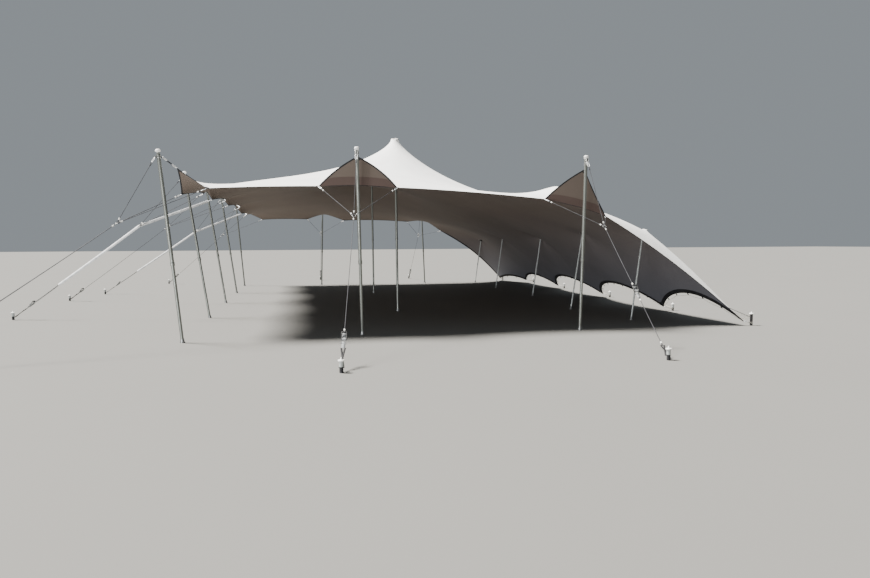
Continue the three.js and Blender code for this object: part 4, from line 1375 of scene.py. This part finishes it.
def head_band(name, targets):
    """The clamp under a pole's collar: its shapes, and the eye of the ear towards each target."""
    foot, head, r = OUTER_POLES[name]
    start, along, length = axis_of(foot, head)
    base = metres(start + along * (length - COLLAR_DROP - BAND_HEIGHT - 0.6))
    place = stand(base, along, (1, 0, 0))
    outside = r + 4
    profile = [(r + 0.4, 0), (outside - 1, 0), (outside, 1.5), (outside, BAND_HEIGHT - 1.5),
               (outside - 1, BAND_HEIGHT), (r + 0.4, BAND_HEIGHT)]
    shapes = [turned(profile, 28, place, hollow=True)]
    bolt = [(0, -9), (6, -9), (6.5, -8), (6.5, -4), (4, -4), (4, 4), (6.5, 4), (6.5, 9), (0, 9)]
    middle = base + along * (BAND_HEIGHT / 2000)
    eyes = []
    for target in targets:
        away = target - middle
        away = (away - along * away.dot(along)).normalized()
        ear = Matrix((away, along, away.cross(along))).transposed().to_4x4()
        ear = Matrix.Translation(middle) @ ear
        outline = round_bar_outline((r + EAR_END, 0), (r + EAR_REACH - EAR_END, 0), 11)
        shapes.append(plate(outline, -2.5, 2.5, ear))
        shapes.append(turned(bolt, 6, ear @ Matrix.Translation(((r + 14) / 1000, 0, 0))))
        eyes.append(middle + away * (r + EAR_REACH - EAR_END) / 1000)
    return shapes, eyes


def head_sling(name, ring):
    """White rope laid round a pole under its cap, whose bight hangs on the ring's side of it."""
    foot, head, r = OUTER_POLES[name]
    start, along, length = axis_of(foot, head)
    top = metres(start + along * length)
    away = ring - top
    away = (away - along * away.dot(along)).normalized()
    side = along.cross(away)
    half, near, far = [d / 1000 for d in (SLING_WIDTH / 2, r + SLING_GAP, r + SLING_BIGHT_GAP)]
    opening = math.asin(half / near)
    points = []
    for k in range(13):
        angle = opening + (2 * math.pi - 2 * opening) * k / 12
        outwards = away * math.cos(angle) + side * math.sin(angle)
        points.append(top - along * SLING_TOP + outwards * near)
    shoulder = top - along * SLING_SHOULDER + away * far
    bight = top - along * SLING_BOTTOM + away * far
    points.append(shoulder - side * half)
    for k in range(7):
        angle = math.pi * k / 6
        points.append(bight - side * half * math.cos(angle) - along * half * math.sin(angle))
    points.append(shoulder + side * half)
    return points


# A ratchet in its side view, in millimetres: X along the line and Y up from it. SIDEWAYS turns
# such an outline so that it stands along the ratchet.
SIDEWAYS = Matrix(((0, 0, -1), (0, 1, 0), (1, 0, 0))).to_4x4()
HUB = (8, 6)
HUB_BUMP = [(HUB[0] + 20 * math.cos(math.radians(a)), HUB[1] + 20 * math.sin(math.radians(a)))
            for a in range(10, 180, 20)]
RATCHET_BASE = [(-62, -10), (62, -10), (66, -4), (62, 6), (32, 9), *HUB_BUMP, (-24, 9), (-58, 8),
                (-64, 0)]
RATCHET_WHEEL = [(HUB[0] + reach * math.cos(math.pi * k / 12),
                  HUB[1] + reach * math.sin(math.pi * k / 12))
                 for k in range(24) for reach in [19 if k % 2 else 15.5]]
RATCHET_ARM = round_bar_outline((HUB[0] - 4, HUB[1] + 2), (102, 34), 9)

# Its plates, and how far from its middle each one starts and ends.
RATCHET_PLATES = [(RATCHET_BASE, 28, 30.5), (RATCHET_WHEEL, 24, 27), (RATCHET_ARM, 31.5, 34)]

# What lies across a ratchet: the place in the side view, the profile, how many sides it has, and
# 0 for steel, 1 for the rubber grip or 2 for webbing.
BOLT = [(0, -36), (7, -36), (8, -35), (8, -31), (4.5, -31), (4.5, 31), (8, 31), (8, 35), (7, 36),
        (0, 36)]
ROLLED_WEBBING = [(0, -23), (14, -23), (15, -22), (15, 22), (14, 23), (0, 23)]
GRIP = [(0, -36), (9, -36), (11, -33), (11, 33), (9, 36), (0, 36)]
RATCHET_RODS = [(HUB, rod(38, 9), 16, 0), ((-54, 0), BOLT, 6, 0), ((54, -2), BOLT, 6, 0),
                ((76, 26), rod(33, 4), 10, 0), (HUB, ROLLED_WEBBING, 20, 2),
                ((102, 34), GRIP, 14, 1)]


def ratchet_parts(place):
    """Ratchet buckle: side plates, toothed wheels, spindle, bolts, handle and the rolled webbing,
    each with the number of its material."""
    parts = []
    for way in (-1, 1):
        for outline, near, far in RATCHET_PLATES:
            low, high = sorted((way * near, way * far))
            parts.append((plate(outline, low, high, place @ SIDEWAYS), 0))
    for (along, up), profile, sides, material in RATCHET_RODS:
        spot = Matrix.Translation(Vector((0, up, along)) / 1000)
        spot = place @ (spot @ Matrix.Rotation(math.pi / 2, 4, "Y"))
        parts.append((turned(profile, sides, spot), material))
    return parts


def ring_bar(ring, line, level):
    """The round ring that a guy's ropes meet at."""
    place = stand(ring, line, level)
    path = [place @ p for p in arc(0, 0, RING_RADIUS, 0, 345, 23)]
    return bent_bar(path, RING_BAR, 10, place.to_3x3() @ Vector((0, 1, 0)))


def make_guy(name):
    guy = Guy(name)
    fittings, (peak_eye, ring_eye) = head_band(name, [guy.peak, guy.ring])
    guy.tie_peak(peak_eye)
    guy.tie_ring(ring_eye)
    parts = [(shape, 0) for shape in (*fittings, ring_bar(guy.ring, guy.line, guy.level))]
    parts += ratchet_parts(stand(guy.ratchet, guy.line, guy.level))
    grey = [([end - way * WEBBING_IN, end + way * WEBBING_OUT], False)
            for end, way in ((guy.top, guy.line), (guy.bottom, -guy.line))]
    black = guy.tie_stake()
    guy.haul()

    node = f"guy_{name}"
    steel = of_parts(f"{node}_fittings", parts, [STEEL, BLACK_RUBBER, GREY_WEBBING])
    ropes = roped(f"{node}_ropes", guy.ropes, ROPE_RADIUS, DARK_ROPE)
    settle(ropes, node)
    settle(steel)
    settle(set_out(f"{node}_links", LINK_PART, guy.links, ZINC_WITH_PAINTED_GLINT))
    settle(set_out(f"{node}_knots", KNOT_PART, guy.knots, WHITE_CORD))
    settle(set_out(f"{node}_bindings", KNOT_PART, guy.bindings, DARK_ROPE))
    for use, lines, width, finish in (("ratchet", grey, RATCHET_WEBBING, GREY_WEBBING),
                                      ("stake", black, STAKE_WEBBING, BLACK_WEBBING)):
        webbing = webbed(f"{node}_{use}_webbing", lines, width, WEBBING_THICKNESS, finish)
        settle(webbing)
    # The long straps hang on edge: what lies level across is their thickness.
    if guy.straps:
        strap = webbed(f"{node}_strap", guy.straps, STRAP_THICKNESS, STRAP_WIDTH, WHITE_WEBBING)
        settle(strap)
    if name not in CORNER_POLES:
        sling = roped(f"{node}_sling", [(head_sling(name, guy.ring), True)], ROPE_RADIUS,
                      WHITE_CORD)
        settle(sling)


# Stakes. STAKE_CAP is the cap's profile from the top of the sleeve.
STAKE_CAP = [(0, -12), (36, -12), (40, -9), (40, 2), (37, 5), (13, 8), (10, 12), (9, 28), (6, 34),
             (0, 34)]


def wrap_profile(inside, outside, low, high, turns):
    """Webbing wound round a stake: each turn a little proud of the gap to the next."""
    step = (high - low) / turns
    profile = [(inside, high), (inside, low)]
    for turn in range(turns):
        start = low + turn * step
        profile += [(outside - 3, start + 1), (outside, start + step * 0.3),
                    (outside, start + step * 0.7), (outside - 3, start + step - 1)]
    return profile


def stake_parts(stake, height):
    """A steel pin in a grey sleeve with a white cap, and webbing wound round its foot, which on
    the tall stakes reaches up under the cap."""
    place = stand(metres(stake), UP)
    top = height - 34
    wrapped, turns = (top - 12, 8) if height > STAKE_HEIGHT else (74, 3)
    bare = max(height - 120, wrapped)
    pin = [(0, 0), (STAKE_RADIUS, 0), (STAKE_RADIUS, top), (0, top)]
    sleeve = [(0, bare), (24, bare), (27, bare + 3), (27, top), (0, top)]
    wound = wrap_profile(STAKE_RADIUS, 26, 4, wrapped, turns)
    return [(turned(pin, 16, place), 0), (turned(sleeve, 24, place), 1),
            (turned(moved(STAKE_CAP, 0, top), 28, place), 2),
            (turned(wound, 20, place, hollow=True), 3)]


def make_stake(node, stake, height):
    piece = of_parts(f"{node}_post", stake_parts(stake, height),
                     [STEEL, GREY_PLASTIC, WHITE_PLASTIC, BLACK_WEBBING])
    settle(piece, node)


# Cords at the grounded side: how far beyond a low point its fan reaches along the edge, and at the
# corners how far in from the corner and along the edge each cord ends, and how high on the stake.
FAN_REACH = (140, 220, 310, 410)
CORNER_LACING = [(20, 0, 205), (70, 0, 170), (140, 0, 205), (210, 0, 150), (20, 60, 120),
                 (20, 140, 90)]
CHORD_REACH = 360
CHORD_HEIGHT = 150
TAB_HOLD = 0.045

# Where the cord between link and stake lies, in metres: heights on the stake, and how far it
# spreads at the link and round the stake.
TIE_HEIGHTS = (-0.016, 0.0, 0.016)
TIE_START = 0.008
TIE_SPREAD = 0.03


def edge_frame(y):
    """A place on the grounded edge: its own Z points out of the cloth and its X along the edge."""
    rim, inside = on_cloth([CUT_WIDTH, CUT_WIDTH - 60], [y, y])
    out = Vector(rim - inside).normalized()
    ahead, behind = on_cloth([CUT_WIDTH] * 2, [min(y + 20, CUT_DEPTH), max(y - 20, 0)])
    return stand(Vector(rim), out, Vector(ahead - behind).normalized())


def make_wall_ties():
    """The grounded edge's ties: at each stake a link at the cloth, and cord laced to the stake."""
    links, cords, chords = [], [], []
    for stake, hold, tall in WALL_STAKES:
        edge, post = held_at(hold), metres((*stake, LOOP_HEIGHT))
        along = (post - edge).normalized()
        level = UP.cross(along).normalized()
        start = hook(edge, post)
        links.append(stand(start, along, level))
        near = start + along * LINK_LENGTH / 1000
        for way in (-1, 1):
            for height in TIE_HEIGHTS:
                end = post + level * way * TIE_SPREAD + Vector((0, 0, height))
                cords.append(([near + level * way * TIE_START, end], False))
        if tall == STAKE_HEIGHT:
            cords += [([post, edge_frame(hold[1] + way) @ Vector((0, 0, 0.01))], False)
                      for way in FAN_REACH]
            continue
        to_middle = 1 if hold[1] == 0 else -1
        for inward, along_edge, height in CORNER_LACING:
            spot = on_cloth([CUT_WIDTH - inward], [hold[1] + to_middle * along_edge], [-0.008])
            cords.append(([metres((*stake, height)), Vector(spot[0])], False))
        far = Vector(on_cloth([CUT_WIDTH - CHORD_REACH], [hold[1]], [-0.01])[0])
        chords.append(([metres((*stake, CHORD_HEIGHT)), far], False))
    settle(set_out("edge_links", LINK_PART, links, ZINC_WITH_PAINTED_GLINT))
    settle(roped("edge_ties", cords, CORD_RADIUS, PALE_CORD))
    settle(roped("edge_corner_ropes", chords, ROPE_RADIUS, DARK_ROPE))


def make_edge_lacing():
    """The grounded edge's tabs and the cord laced through them, between its held points."""
    tabs, cords = [], []
    held = sorted(y for x, y in HELD_EDGE if x == CUT_WIDTH)
    for start, end in zip(held, held[1:]):
        count = round((end - start) / TAB_SPACING)
        places = [edge_frame(start + (end - start) * k / count) for k in range(1, count)]
        tabs += places
        laced = [place @ Vector((0, 0, TAB_HOLD)) for place in places]
        path = [held_at((CUT_WIDTH, start)), *laced, held_at((CUT_WIDTH, end))]
        cords += [(sagged(first, last, LACING_SAG, 8), False)
                  for first, last in zip(path, path[1:])]
    settle(set_out("edge_tabs", TAB_PART, tabs, BLACK_WEBBING))
    settle(roped("edge_lacing", cords, CORD_RADIUS, PALE_CORD))


set_camera()
set_light()
pale_floor()
cloth = make_cloth()
hems, tips, tapes, facings = make_hems(), make_tips(), make_tapes(), make_facings()
for name, (foot, head, radius) in OUTER_POLES.items():
    make_outer_pole(f"pole_{name}", foot, head, radius)
for name, (foot, head, radius) in INNER_POLES.items():
    make_inner_pole(f"pole_{name}", foot, head, radius)
for name, (_, stake, _) in GUYS.items():
    make_guy(name)
    make_stake(f"stake_{name}", stake, STAKE_HEIGHT)
for number, (stake, _, height) in enumerate(WALL_STAKES, 1):
    make_stake(f"wall_stake_{number}", stake, height)
make_wall_ties()
make_edge_lacing()
for part in (LINK_PART, KNOT_PART, TAB_PART):
    bpy.data.objects.remove(part)
